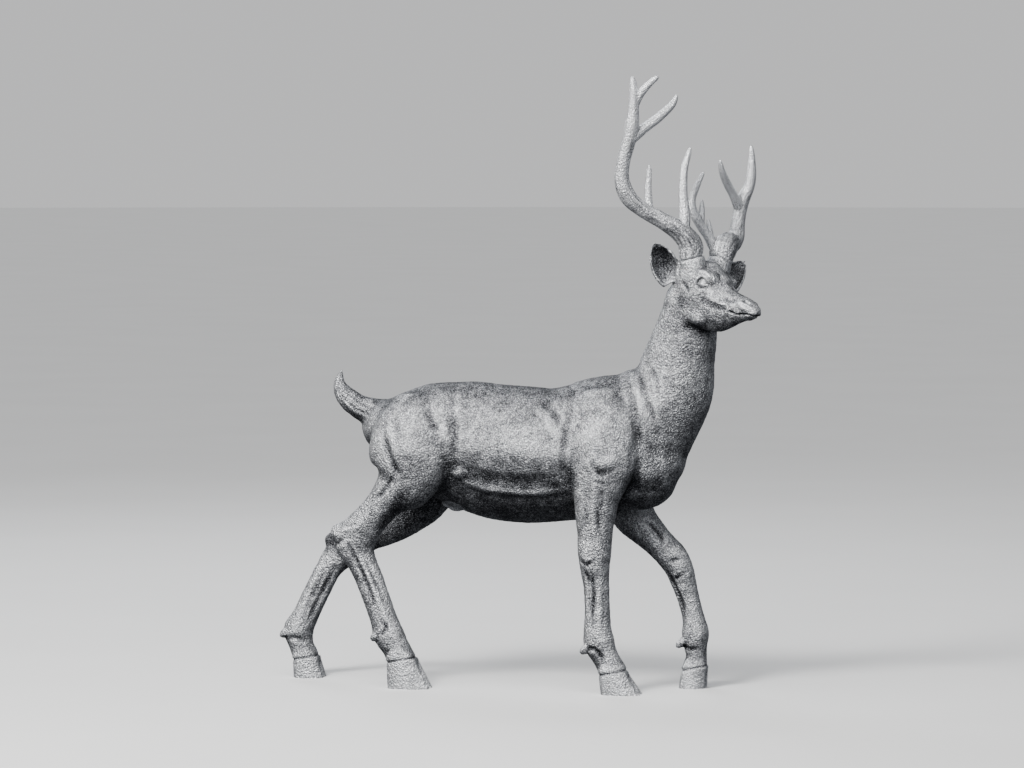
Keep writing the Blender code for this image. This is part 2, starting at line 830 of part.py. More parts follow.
# How soon a surface that turns away from the side loses the carving
SIDE_FACING = 1.6


def carve_sides(piece):
    """Moves the surface in along the grooves and out over the muscles, on both sides."""
    mesh = piece.data
    count = len(mesh.vertices)
    points, normals = np.empty(count * 3), np.empty(count * 3)
    mesh.vertices.foreach_get("co", points)
    mesh.vertices.foreach_get("normal", normals)
    points, normals = points.reshape(-1, 3) / MM, normals.reshape(-1, 3)
    facing = np.clip(np.sign(points[:, 1]) * normals[:, 1] * SIDE_FACING, 0, 1)
    view = points[:, [0, 2]]
    move = np.zeros(count)
    for stroke in SIDE_STROKES:
        line = smooth_between(stroke.points, 5 * len(stroke.points))
        near = np.clip(1 - (distance_to_line(view, line) / stroke.width) ** 2, 0, 1) ** 2
        move -= stroke.depth * near * facing * ends_fade(view, line)
    for bump in SIDE_SWELLINGS:
        spread = ((view[:, 0] - bump.x) / bump.long) ** 2 + ((view[:, 1] - bump.z) / bump.high) ** 2
        move += bump.out * np.clip(1 - spread, 0, 1) ** 2 * facing
    points += move[:, None] * normals
    mesh.vertices.foreach_set("co", (points * MM).ravel())
    mesh.update()


# Strokes on the head, in the head's own axes: (ahead, left, up), mirrored to both sides
HEAD_STROKES = [
    Stroke([(163, 0, -19), (150, 22, -21), (130, 28, -25), (108, 31, -33), (92, 32, -40)], 12, 3.5),
    Stroke([(146, 18, -2), (139, 25, -5), (133, 28, -2)], 12, 4),
    Stroke([(14, 50, -12), (34, 44, -20), (60, 38, -28)], 20, 3.5),
    Stroke([(-34, 52, 0), (-44, 54, -12), (-52, 58, -24)], 22, 3.5),
]


def carve_head(piece):
    mesh = piece.data
    count = len(mesh.vertices)
    points, normals = np.empty(count * 3), np.empty(count * 3)
    mesh.vertices.foreach_get("co", points)
    mesh.vertices.foreach_get("normal", normals)
    points, normals = points.reshape(-1, 3) / MM, normals.reshape(-1, 3)
    move = np.zeros(count)
    for stroke in HEAD_STROKES:
        for hand in (RIGHT, LEFT):
            line = np.array([on_head(f, hand * side, up) for f, side, up in stroke.points])
            line = smooth_between(line, 6 * len(line))
            near = np.clip(1 - (distance_to_line(points, line) / stroke.width) ** 2, 0, 1)
            move -= stroke.depth * near**3
    points += move[:, None] * normals
    mesh.vertices.foreach_set("co", (points * MM).ravel())
    mesh.update()


# The small round forms under the belly: their middles and radii
SHEATH = {
    "sheath": ((-150, -3, 494), (26, 16, 15)),
    "sheath_back": ((-176, -3, 503), (15, 14, 13)),
}


def sheath_pieces(home):
    return [ball(name, centre, radii, home) for name, (centre, radii) in SHEATH.items()]


# The trunk is smoothed more than the rest: from nothing at the first height to fully at
# the second, and fully up to the first place ahead and not at all past the second
SMOOTH_HEIGHTS = (440.0, 530.0)
SMOOTH_AHEAD = (500.0, 560.0)


def rise_between(values, start, end):
    return np.clip((values - start) / (end - start), 0, 1)


def trunk_weight(points):
    """Full on the trunk and upper limbs, fading to nothing on the legs below and the head."""
    high = rise_between(points[:, 2] / MM, *SMOOTH_HEIGHTS)
    return high * (1 - rise_between(points[:, 0] / MM, *SMOOTH_AHEAD))


def make_body(home):
    trunk = [
        loft("trunk", TORSO, home),
        loft("neck", NECK, home),
        loft("tail", TAIL, home),
        loft("foreleg_right", RIGHT_FORELEG, home),
        loft("foreleg_left", LEFT_FORELEG, home),
        loft("hind_leg_right", RIGHT_HIND_LEG, home),
        loft("hind_leg_left", LEFT_HIND_LEG, home),
    ]
    trunk += hock_pieces(home) + head_pieces(home) + sheath_pieces(home)
    body = fuse(trunk, BODY_VOXEL)
    relax(body, 10, trunk_weight, shrink_back=False)
    relax(body, 4)
    carve_sides(body)
    fine = [body] + hoof_pieces(home) + dewclaw_pieces(home) + ear_pieces(home)
    body = fuse(fine + eye_pieces(home) + pedicle_pieces(home), HEAD_VOXEL)
    relax(body, 3)
    carve_head(body)
    body.name = body.data.name = "deer_body"
    return thin(body, BODY_TRIANGLES)


def make_antler(hand, home):
    antler = fuse(antler_pieces(hand, home), ANTLER_VOXEL)
    relax(antler, 4)
    antler.name = antler.data.name = "antler_right" if hand == RIGHT else "antler_left"
    return thin(antler, ANTLER_TRIANGLES)


def ground_block(home):
    shape = bmesh.new()
    bmesh.ops.create_cube(shape, size=1)
    size = Vector((3, 2, 0.2))
    bmesh.ops.scale(shape, vec=size, verts=shape.verts)
    bmesh.ops.translate(shape, vec=(0, 0, GROUND_LEVEL * MM - size.z / 2), verts=shape.verts)
    return as_object("ground_cutter", shape, home)


def metal(name, colour, roughness):
    finish = bpy.data.materials.new(name)
    finish.use_nodes = True
    shader = finish.node_tree.nodes["Principled BSDF"]
    shader.inputs["Base Color"].default_value = (*colour, 1)
    shader.inputs["Roughness"].default_value = roughness
    shader.inputs["Metallic"].default_value = 0.9
    return finish


def hide(cutter):
    cutter.hide_render = True
    cutter.display_type = "WIRE"


def centre_over_origin(pieces, cutters):
    """Sets the soles on the ground and the middle of the bounding box over the origin."""
    lows, highs = [], []
    for piece in pieces:
        points = np.empty(len(piece.data.vertices) * 3)
        piece.data.vertices.foreach_get("co", points)
        points = points.reshape(-1, 3)
        lows.append(points.min(axis=0))
        highs.append(points.max(axis=0))
    middle = (np.min(lows, axis=0) + np.max(highs, axis=0)) / 2
    shift = Matrix.Translation((-middle[0], -middle[1], -GROUND_LEVEL * MM))
    for piece in pieces + cutters:
        piece.data.transform(shift)


def collection(name):
    made = bpy.data.collections.new(name)
    bpy.context.scene.collection.children.link(made)
    return made


def main():
    for old in list(bpy.data.objects):
        bpy.data.objects.remove(old)
    home = collection("deer_statue")
    tools = collection("cutters")
    body = make_body(home)
    antlers = [make_antler(RIGHT, home), make_antler(LEFT, home)]
    cutters = [ground_block(tools)]
    cut(body, cutters[0])
    for antler, hand in zip(antlers, (RIGHT, LEFT)):
        place = seat(hand)
        above = seat_block(f"above_seat_{hand}", place, 1, PEDICLE_RADIUS + STUMP_MARGIN, tools)
        below = seat_block(f"below_seat_{hand}", place, -1, PEDICLE_RADIUS + FOOT_MARGIN, tools)
        groove = seam_ring(f"seam_{hand}", place, tools)
        cut(body, above)
        cut(body, groove)
        cut(antler, below)
        cut(antler, groove)
        cutters += [above, below, groove]
    for piece in [body] + antlers:
        piece.data.shade_smooth()
    for cutter in cutters:
        hide(cutter)
    body_finish = metal("silvered_body", (0.36, 0.37, 0.39), 0.42)
    antler_finish = metal("silvered_antler", (0.5, 0.51, 0.53), 0.34)
    body.data.materials.append(body_finish)
    for antler in antlers:
        antler.data.materials.append(antler_finish)
    centre_over_origin([body] + antlers, cutters)


main()
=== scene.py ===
"""Deer statue, dressed: the cast body and its two antlers in rubbed silver over a dark wash.

The figure is drawn in millimetres, +X ahead, +Y its left, +Z up, and moved by TO_ORIGIN so
that its soles stand on the ground and its middle is over the origin.
"""

import math
from collections import namedtuple

import bmesh
import bpy
import numpy as np
from mathutils import Matrix, Vector, noise

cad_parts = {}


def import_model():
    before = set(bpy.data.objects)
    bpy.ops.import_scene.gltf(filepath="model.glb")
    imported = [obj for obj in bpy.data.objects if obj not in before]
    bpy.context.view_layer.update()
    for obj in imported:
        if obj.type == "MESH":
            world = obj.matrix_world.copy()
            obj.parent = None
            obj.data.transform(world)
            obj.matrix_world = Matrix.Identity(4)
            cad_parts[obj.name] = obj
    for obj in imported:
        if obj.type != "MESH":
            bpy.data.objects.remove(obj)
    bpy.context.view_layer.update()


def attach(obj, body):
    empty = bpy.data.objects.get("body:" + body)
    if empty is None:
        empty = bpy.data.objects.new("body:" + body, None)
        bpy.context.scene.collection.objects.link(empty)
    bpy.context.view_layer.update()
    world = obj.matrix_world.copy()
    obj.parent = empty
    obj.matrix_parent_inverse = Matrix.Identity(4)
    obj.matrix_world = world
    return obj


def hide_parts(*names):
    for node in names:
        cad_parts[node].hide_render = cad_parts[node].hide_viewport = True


MM = 0.001

# How far the finished pieces are moved, in metres
TO_ORIGIN = Vector((-0.0160, 0.0046, -0.012))

# Sizes shared with the solids
GROUND_LEVEL = 12.0
PEDICLE_RADIUS = 32.0
SEAT_GAP = 0.3

TRUNK_VOXEL = 0.0055
SKIN_VOXEL = 0.0032
ANTLER_VOXEL = 0.0018
BODY_TRIANGLES = 192000
ANTLER_TRIANGLES = 60000
RING_SIDES = 36
RING_STEP = 9.0
BALL_SIDES = 24
BALL_RINGS = 14

RIGHT = -1
LEFT = 1
HANDS = {RIGHT: "right", LEFT: "left"}
UP = Vector((0, 0, 1))
NOWHERE = Vector((0, 0, 0))

# One ring of a loft: its centre, its half width to the side and its half depth,
# and how far the lower half narrows (1 keeps it a plain oval)
Ring = namedtuple("Ring", "x y z side depth keel", defaults=(1.0,))

# Head pose, in degrees from level and straight ahead
HEAD_YAW = -35.0
HEAD_PITCH = -20.0
HEAD_ROLL = 10.0
EYE_CENTRE = Vector((565, -75, 1092))


def head_axes():
    """Forward, left and up of the head, turned to the deer's right and tipped down."""
    turn = Matrix.Rotation(math.radians(HEAD_YAW), 3, "Z")
    nod = Matrix.Rotation(math.radians(-HEAD_PITCH), 3, "Y")
    tilt = Matrix.Rotation(math.radians(-HEAD_ROLL), 3, "X")
    return [column.copy() for column in (turn @ nod @ tilt).col]


AHEAD, HEAD_LEFT, HEAD_UP = head_axes()
LEVEL_AHEAD = Vector((AHEAD.x, AHEAD.y, 0)).normalized()


def on_head(ahead, left, up):
    """A point given from the middle between the eyes, in the drawing's millimetres."""
    return EYE_CENTRE + AHEAD * float(ahead) + HEAD_LEFT * float(left) + HEAD_UP * float(up)


# The lofts of the body, ring by ring
LOFTS = {
    "trunk": [
        (-392, 0, 738, 26, 20), (-378, 0, 728, 62, 54), (-345, 0, 712, 90, 78),
        (-290, 0, 698, 114, 112, 0.92), (-225, 0, 686, 126, 142, 0.86),
        (-160, 0, 669, 122, 164, 0.8), (-100, 0, 655, 120, 175, 0.78),
        (-30, 0, 640, 129, 182, 0.78), (50, 0, 634, 137, 183, 0.8), (120, 0, 635, 137, 178, 0.8),
        (190, 0, 645, 128, 181, 0.78), (250, 0, 658, 118, 188, 0.76),
        (310, 0, 660, 108, 186, 0.76), (370, 0, 640, 92, 150, 0.8), (420, 0, 650, 70, 92),
        (455, 0, 660, 44, 52), (472, 0, 664, 12, 14),
    ],
    "neck": [
        (292, 0, 650, 100, 160, 0.9), (370, 0, 738, 96, 144, 0.88), (430, 0, 812, 84, 115, 0.9),
        (452, -4, 891, 73, 97), (471, -12, 962, 65, 85), (484, -24, 1020, 59, 74),
        (492, -33, 1065, 54, 68), (500, -36, 1100, 42, 44),
    ],
    "tail": [
        (-340, 0, 742, 30, 36), (-385, 0, 743, 34, 39), (-422, 0, 757, 32, 33),
        (-450, 0, 778, 28, 31), (-468, 0, 800, 22, 24), (-475, 0, 826, 14, 15),
        (-469, 0, 850, 7, 8), (-464, 0, 864, 2, 2),
    ],
    "foreleg_right": [
        (246, -54, 812, 26, 46), (252, -72, 752, 46, 84), (262, -86, 684, 55, 95),
        (264, -94, 622, 55, 90), (258, -99, 572, 49, 73), (250, -101, 530, 44, 62),
        (246, -101, 480, 40, 54), (245, -101, 430, 36, 47), (244, -101, 388, 38, 45),
        (245, -101, 346, 35, 40), (249, -101, 300, 29, 35), (252, -101, 236, 28, 34),
        (252, -101, 186, 31, 37), (257, -101, 146, 34, 42), (270, -101, 116, 31, 36),
        (284, -101, 90, 31, 35), (296, -101, 66, 35, 38), (306, -101, 36, 26, 30),
    ],
    "foreleg_left": [
        (246, 54, 812, 26, 46), (254, 72, 752, 46, 84), (268, 84, 684, 55, 95),
        (282, 90, 622, 55, 88), (288, 92, 560, 49, 76), (300, 90, 505, 44, 66),
        (318, 86, 466, 42, 58), (353, 82, 429, 38, 47), (390, 80, 392, 36, 41),
        (422, 78, 360, 38, 41), (443, 78, 321, 34, 37), (463, 78, 257, 28, 30),
        (478, 78, 200, 29, 30), (484, 78, 158, 34, 37), (484, 78, 126, 32, 32),
        (487, 78, 96, 29, 28), (482, 78, 62, 34, 33), (478, 78, 34, 26, 24),
    ],
    "hind_leg_right": [
        (-262, -50, 792, 30, 40), (-258, -68, 738, 56, 88), (-259, -80, 672, 66, 110),
        (-262, -87, 612, 62, 110), (-276, -91, 562, 52, 86), (-313, -92, 522, 43, 55),
        (-347, -91, 484, 38, 46), (-384, -90, 440, 33, 50), (-410, -89, 400, 31, 56),
        (-394, -88, 354, 29, 41), (-372, -88, 305, 27, 38), (-351, -88, 249, 27, 37),
        (-331, -88, 194, 29, 37), (-318, -88, 154, 33, 42), (-297, -88, 118, 30, 37),
        (-281, -88, 80, 35, 40), (-270, -88, 46, 26, 32),
    ],
    "hind_leg_left": [
        (-262, 50, 792, 30, 40), (-258, 68, 738, 56, 88), (-256, 80, 672, 66, 110),
        (-250, 87, 612, 62, 106), (-245, 91, 556, 52, 88), (-262, 92, 500, 44, 66),
        (-304, 92, 455, 40, 50), (-358, 91, 422, 37, 44), (-415, 90, 400, 33, 42),
        (-470, 89, 368, 31, 46), (-503, 88, 340, 30, 42), (-530, 88, 304, 28, 35),
        (-565, 88, 237, 27, 35), (-596, 88, 172, 30, 36), (-612, 88, 138, 33, 42),
        (-604, 88, 98, 30, 34), (-590, 88, 62, 34, 35), (-584, 88, 34, 26, 26),
    ],
}

# Head rings: x is ahead of the eyes, y is left, z is up, all in the head's own axes
SKULL = [
    (-122, 0, -18, 20, 20), (-108, 0, -20, 44, 44), (-78, 0, -26, 60, 76, 0.9),
    (-45, 0, -34, 61, 84, 0.86), (-12, 0, -40, 55, 80, 0.82), (20, 0, -44, 47, 76, 0.77),
    (48, 0, -43, 41, 67, 0.75), (75, 0, -36, 35, 53, 0.76), (100, 0, -26, 31, 40, 0.8),
    (124, 0, -18, 29, 31, 0.86), (145, 0, -15, 26, 23, 0.9), (159, 0, -14, 20, 16),
    (167, 0, -14, 8, 8),
]

# Hooves: where the leg ends, where the sole's middle stands, the side it is on, the half
# lengths at the coronet and at the sole
Hoof = namedtuple("Hoof", "top sole y top_half sole_half")
HOOVES = [
    Hoof((294, 70), (322, 0), -101, 38, 56),
    Hoof((483, 66), (476, 0), 78, 34, 36),
    Hoof((-281, 88), (-256, 0), -88, 41, 60),
    Hoof((-590, 66), (-578, 0), 88, 36, 42),
]
CLAW_SPREAD = 18.0
CLAW_HALF_WIDTH = 22.0

# How far down the hoof each ring of a claw is, 1 at the sole, and how full it is there
CLAW_PROFILE = [
    (-0.5, 0.5),
    (-0.32, 0.74),
    (-0.16, 0.9),
    (0, 1.0),
    (0.1, 0.96),
    (0.5, 0.99),
    (1, 1),
    (1.3, 1),
]

# How square a claw is behind, how much its toe narrows, and its width at the coronet
CLAW_SQUARENESS = 0.9
TOE_TAPER = 0.4
CORONET_WIDTH = 0.9


def smooth_between(values, count):
    """Catmull-Rom rows through the given rows, about `count` of them, ends included."""
    rows = np.asarray(values, float)
    padded = np.vstack([2 * rows[0] - rows[1], rows, 2 * rows[-1] - rows[-2]])
    places = np.linspace(0, len(rows) - 1, count)
    span = np.minimum(places.astype(int), len(rows) - 2)
    t = (places - span)[:, None]
    a, b, c, d = (padded[span + k] for k in range(4))
    return 0.5 * (
        2 * b + (c - a) * t + (2 * a - 5 * b + 4 * c - d) * t**2 + (3 * b - a - 3 * c + d) * t**3
    )


def oval(side_axis, depth_axis, side, depth, keel):
    """Points of an oval whose lower half is narrowed by `keel`."""
    angles = np.linspace(0, 2 * math.pi, RING_SIDES, endpoint=False)
    low = np.clip(-np.sin(angles), 0, 1)
    narrow = 1 + (keel - 1) * low
    across = (side * narrow * np.cos(angles))[:, None] * np.asarray(side_axis)
    along = (depth * np.sin(angles))[:, None] * np.asarray(depth_axis)
    return across + along


def mesh_of_rings(rings):
    """A closed tube through rings of points, with a fan at each end."""
    shape = bmesh.new()
    loops = [[shape.verts.new(Vector(point) * MM) for point in ring] for ring in rings]
    for low, high in zip(loops, loops[1:]):
        for i in range(RING_SIDES):
            j = (i + 1) % RING_SIDES
            shape.faces.new((low[i], low[j], high[j], high[i]))
    shape.faces.new(reversed(loops[0]))
    shape.faces.new(loops[-1])
    bmesh.ops.recalc_face_normals(shape, faces=shape.faces)
    return shape


def as_object(name, shape, home):
    mesh = bpy.data.meshes.new(name)
    shape.to_mesh(mesh)
    shape.free()
    piece = bpy.data.objects.new(name, mesh)
    home.objects.link(piece)
    return piece


def loft(name, stations, home, side_axis=(0, 1, 0), place=None, carry=False):
    """A tube through the stations, each ring square to the way the path runs.

    The rings keep to the side axis, or with `carry` each turns on from the one before it.
    """
    rows = np.array([Ring(*station) for station in stations], float)
    if place:
        rows[:, :3] = [place(*row[:3]) for row in rows]
    length = np.linalg.norm(np.diff(rows[:, :3], axis=0), axis=1).sum()
    rows = smooth_between(rows, max(len(rows) + 2, int(length / RING_STEP)))
    runs = np.gradient(rows[:, :3], axis=0)
    axis = Vector(side_axis)
    rings = []
    for row, run in zip(rows, runs):
        run = Vector(run).normalized()
        side = (axis - run * axis.dot(run)).normalized()
        depth = run.cross(side)
        rings.append(row[:3] + oval(side, depth, abs(row[3]), abs(row[4]), row[5]))
        if carry:
            axis = side
    return as_object(name, mesh_of_rings(rings), home)


def ball(name, centre, radii, home, axes=None):
    """An ellipsoid, its radii in the drawing's millimetres along X, Y, Z or the given axes."""
    shape = bmesh.new()
    bmesh.ops.create_uvsphere(shape, u_segments=BALL_SIDES, v_segments=BALL_RINGS, radius=1)
    turn = Matrix(axes).transposed().to_4x4() if axes else Matrix.Identity(4)
    matrix = Matrix.Scale(MM, 4) @ Matrix.Translation(Vector(centre)) @ turn
    matrix = matrix @ Matrix.Diagonal((*radii, 1))
    bmesh.ops.transform(shape, matrix=matrix, verts=shape.verts)
    return as_object(name, shape, home)


def claw(name, hoof, offset, home):
    """One of the two toes of a hoof: a wedge from the coronet down through the ground."""
    (top_x, top_z), (sole_x, _) = hoof.top, hoof.sole
    y = hoof.y + offset
    angles = np.linspace(0, 2 * math.pi, RING_SIDES, endpoint=False)
    blunt = np.sign(np.cos(angles)) * np.abs(np.cos(angles)) ** CLAW_SQUARENESS
    toe = 1 - TOE_TAPER * np.clip(blunt, 0, 1) ** 2
    rings = []
    for fall, full in CLAW_PROFILE:
        z = top_z * (1 - fall)
        x = top_x + fall * (sole_x - top_x)
        half = full * (hoof.top_half + fall * (hoof.sole_half - hoof.top_half))
        width = full * CLAW_HALF_WIDTH * (CORONET_WIDTH + (1 - CORONET_WIDTH) * fall)
        ring = np.stack(
            [x + half * blunt, y + width * toe * np.sin(angles), np.full(RING_SIDES, z)], axis=1
        )
        rings.append(ring)
    return as_object(name, mesh_of_rings(rings), home)


def hoof_pieces(home):
    return [
        claw(f"claw_{number}_{side}", hoof, side * CLAW_SPREAD, home)
        for number, hoof in enumerate(HOOVES)
        for side in HANDS
    ]


# Dewclaws: middle of each pair, just behind and below the fetlock
DEWCLAWS = [(224, -101, 132), (450, 78, 134), (-348, -88, 152), (-644, 88, 134)]
DEWCLAW_SPREAD = 17.0
DEWCLAW_RADII = (20, 10, 12)
DEWCLAW_LEAN = Vector((-0.75, 0, -0.66)).normalized()


def dewclaw_pieces(home):
    across = Vector((0, 1, 0))
    axes = (DEWCLAW_LEAN, across, DEWCLAW_LEAN.cross(across))
    places = {
        f"dewclaw_{number}_{side}": (x, y + side * DEWCLAW_SPREAD, z)
        for number, (x, y, z) in enumerate(DEWCLAWS)
        for side in HANDS
    }
    return [ball(name, place, DEWCLAW_RADII, home, axes) for name, place in places.items()]


# The hocks: the point of each, and where the tendon that runs up from it leaves the leg
HOCKS = {
    "right": ((-450, -89, 424), (-364, -89, 494)),
    "left": ((-512, 89, 384), (-420, 89, 426)),
}
HOCK_RADII = (27, 20, 26)

# How far along the tendon each section is, from its top, and its half width and half depth
TENDON_SECTIONS = [(0, 13, 22), (0.5, 14, 20), (1, 17, 22)]


def hock_pieces(home):
    """The point of each hock, with the tendon that runs up from it."""
    made = []
    for name, (tip, above) in HOCKS.items():
        made.append(ball(f"hock_{name}", tip, HOCK_RADII, home))
        top = Vector(above)
        cord = [(*top.lerp(Vector(tip), share), *halves) for share, *halves in TENDON_SECTIONS]
        made.append(loft(f"tendon_{name}", cord, home))
    return made


# The ears are cups: how deep one is for its width, how thick its wall is at the root and
# at the tip, and where along it the hollow starts
EAR_DEPTH = 0.62
EAR_ROOT_WALL = 11.0
EAR_TIP_WALL = 4.5
EAR_HOLLOW_START = 0.22
EAR_STEPS = 14

# How full the leaf is at its root, how quickly it fills out, how little is left of it at
# the tip, how much thicker its back is at the root, how far its rims stand forward and how
# wide its hollow is
EAR_ROOT_FULLNESS = 0.22
EAR_SWELL = 0.7
EAR_TIP_FULLNESS = 0.03
EAR_ROOT_BACK = 5.0
EAR_RIM_LIFT = 0.16
EAR_INNER_WIDTH = 0.84


def leaf_fullness(share):
    """How wide an ear is for its full width, from 0 at its root to 1 at its tip."""
    if share >= 1:
        return EAR_TIP_FULLNESS
    along = EAR_ROOT_FULLNESS + (1 - EAR_ROOT_FULLNESS) * share
    return math.sin(math.pi * along) ** EAR_SWELL


def ear(name, root, tip, facing, width, home):
    """A leaf-shaped cup: rings of a crescent that open towards `facing`."""
    axis = (tip - root).normalized()
    facing = (facing - axis * axis.dot(facing)).normalized()
    across = axis.cross(facing)
    arc = np.linspace(0, math.pi, RING_SIDES // 2)
    rings = []
    for share in np.linspace(0, 1, EAR_STEPS):
        centre = root + (tip - root) * float(share)
        half = width * leaf_fullness(share)
        back = EAR_DEPTH * half + EAR_ROOT_BACK * (1 - share)
        wall = EAR_ROOT_WALL + (EAR_TIP_WALL - EAR_ROOT_WALL) * share
        hollow = max(0, back - wall) * min(1, share / EAR_HOLLOW_START)
        lift = EAR_RIM_LIFT * half
        ring = [
            centre + across * (half * math.cos(a)) - facing * (back * math.sin(a)) for a in arc
        ]
        ring += [
            centre
            + across * (EAR_INNER_WIDTH * half * math.cos(a))
            - facing * (hollow * math.sin(a) - lift * (1 - math.sin(a)))
            for a in arc[::-1]
        ]
        rings.append(np.array(ring))
    return as_object(name, mesh_of_rings(rings), home)


# Rounded forms of the head, each made on both sides: (ahead, left, up) and its radii
HEAD_FORMS = {
    "brow": ((-8, 38, 17), (36, 19, 15)),
    "temple": ((-70, 36, 2), (50, 36, 42)),
    "cheek": ((14, 34, -30), (52, 16, 20)),
    "jaw": ((-22, 28, -84), (58, 17, 34)),
    "lip": ((128, 15, -10), (30, 15, 18)),
    "chin": ((122, 7, -36), (28, 13, 11)),
}
EYE = ((-3, 46, -4), (14, 11, 10))

# The eyeball itself: its middle and radius, in the head's own axes
EYE_BALL = (-5, 45, -2, 11)


def head_form(name, form, home):
    """The same rounded form on the right and on the left of the head."""
    (ahead, left, up), radii = form
    axes = (AHEAD, HEAD_LEFT, HEAD_UP)
    return [
        ball(f"{name}_{hand}", on_head(ahead, hand * left, up), radii, home, axes)
        for hand in HANDS
    ]


def head_pieces(home):
    made = [loft("skull", SKULL, home, side_axis=HEAD_LEFT, place=on_head)]
    for name, form in HEAD_FORMS.items():
        made += head_form(name, form, home)
    return made


def eye_pieces(home):
    return head_form("eye", EYE, home)


# The ears: where each is rooted on the head, how far its tip is out to its own side, back
# and up from there, which way it opens in the same terms, and its half width
Ear = namedtuple("Ear", "root tip opens width")
EARS = {
    RIGHT: Ear((-94, -60, -38), (44, 26, 106), (0.68, -0.73, 0), 39),
    LEFT: Ear((-60, 70, -44), (108, -14, 92), (-0.2, -0.7, 0.6), 42),
}


def side_axes(hand):
    """Level directions of the head: out to one side, and back."""
    back = -LEVEL_AHEAD
    out = Vector((-LEVEL_AHEAD.y, LEVEL_AHEAD.x, 0)) * hand
    return out, back


def along(start, parts, axes):
    """The place reached from the start by going so far along each of the axes."""
    return sum((part * axis for part, axis in zip(parts, axes)), start)


def ear_pieces(home):
    """The right ear stands up and back, the left one is turned out to the side."""
    made = []
    for hand, form in EARS.items():
        axes = (*side_axes(hand), UP)
        root = on_head(*form.root)
        tip, opens = along(root, form.tip, axes), along(NOWHERE, form.opens, axes)
        made.append(ear(f"ear_{HANDS[hand]}", root, tip, opens, form.width, home))
    return made


# Antlers: the beam and the tines of each, by points from its seat: away from the middle
# line, back, up and the radius there
ANTLERS = {
    RIGHT: [
        [
            (-6, -3, -30, 32), (1, 1, 6, 32), (3, 2, 34, 32), (22, 18, 66, 27), (62, 44, 96, 22),
            (108, 74, 126, 20), (143, 92, 160, 22), (160, 98, 205, 20), (163, 90, 250, 18),
            (160, 75, 298, 18), (158, 64, 340, 19), (160, 56, 386, 15), (164, 51, 427, 13),
            (168, 49, 456, 9), (170, 48, 472, 4),
        ],
        [
            (20, 10, 70, 16), (12, 14, 110, 15), (10, 22, 170, 12), (4, 24, 230, 10),
            (-10, 22, 270, 7), (-14, 20, 288, 3),
        ],
        [
            (92, 62, 112, 12), (92, 68, 145, 11), (93, 68, 190, 9), (92, 66, 226, 7),
            (90, 66, 243, 3),
        ],
        [
            (152, 66, 316, 16), (118, 50, 343, 13), (86, 38, 366, 12), (52, 26, 396, 10),
            (40, 22, 414, 7), (36, 20, 426, 3),
        ],
        [
            (160, 56, 390, 12), (152, 42, 424, 11), (138, 22, 452, 9), (127, 8, 467, 7),
            (121, 2, 473, 3),
        ],
    ],
    LEFT: [
        [
            (-22, -3, -30, 32), (4, 1, 6, 33), (15, 3, 32, 36), (54, 24, 47, 31), (94, 48, 47, 26),
            (121, 58, 65, 22), (133, 64, 97, 19), (143, 65, 133, 18), (151, 60, 165, 18),
            (161, 50, 195, 15), (164, 45, 227, 14), (164, 43, 267, 10), (162, 42, 291, 7),
            (161, 42, 305, 3),
        ],
        [
            (1, 17, 34, 16), (-19, 24, 67, 13), (-41, 32, 97, 12), (-57, 44, 135, 12),
            (-57, 47, 165, 10), (-51, 41, 191, 9), (-40, 34, 219, 7), (-31, 29, 237, 3),
        ],
        [
            (143, 65, 135, 15), (113, 61, 175, 12), (85, 57, 205, 11), (61, 51, 235, 9),
            (51, 48, 257, 6), (47, 46, 267, 3),
        ],
        [
            (-1, 32, 42, 11), (3, 38, 71, 9), (3, 44, 97, 7), (3, 48, 113, 3),
        ],
        [
            (-37, 30, 87, 10), (-31, 38, 117, 9), (-27, 40, 145, 7), (-27, 40, 163, 3),
        ],
    ],
}

# Up to this height over its seat an antler keeps the radius of the pedicle
FOOT_RISE = 6

# Where each antler stands on the head, and how far its seat leans out and back
SEATS = {
    RIGHT: ((-77, -47, 42), (0.22, 0.13, 1)),
    LEFT: ((-70, 57, 48), (0.72, 0.1, 1)),
}
Seat = namedtuple("Seat", "centre normal axes")


def seat(hand):
    """Where an antler stands on its pedicle, the way its face looks, and out, back and up."""
    axes = (*side_axes(hand), UP)
    place, leaning = SEATS[hand]
    return Seat(on_head(*place), along(NOWHERE, leaning, axes).normalized(), axes)


# The stump under each antler: how far it reaches down into the head and up past its seat,
# and how much wider than the seat it is along the way
PEDICLE_DEPTH = 56.0
PEDICLE_RISE = 14.0
PEDICLE_FLARE = [(0, -14), (0.3, 3), (0.6, 2), (1, 0)]


def pedicle_pieces(home):
    made = []
    for hand, side in HANDS.items():
        place = seat(hand)
        low = place.centre - PEDICLE_DEPTH * place.normal
        high = place.centre + PEDICLE_RISE * place.normal
        stump = [
            (*low.lerp(high, share), PEDICLE_RADIUS + flare, PEDICLE_RADIUS + flare)
            for share, flare in PEDICLE_FLARE
        ]
        made.append(loft(f"pedicle_{side}", stump, home, side_axis=AHEAD))
    return made


def antler_rods(hand):
    """The stations of the beam and of each tine, placed from the seat."""
    place = seat(hand)
    rods = []
    for number, rod in enumerate(ANTLERS[hand]):
        stations = []
        for *reach, radius in rod:
            foot = number == 0 and reach[2] <= FOOT_RISE
            thick = PEDICLE_RADIUS if foot else radius
            stations.append((*along(place.centre, reach, place.axes), thick, thick))
        rods.append(stations)
    return rods


# Mesh helpers


def join(pieces):
    """One object from several, still loose inside it."""
    joined = bmesh.new()
    for piece in pieces:
        joined.from_mesh(piece.data)
    first = pieces[0]
    joined.to_mesh(first.data)
    joined.free()
    for piece in pieces[1:]:
        bpy.data.objects.remove(piece)
    return first


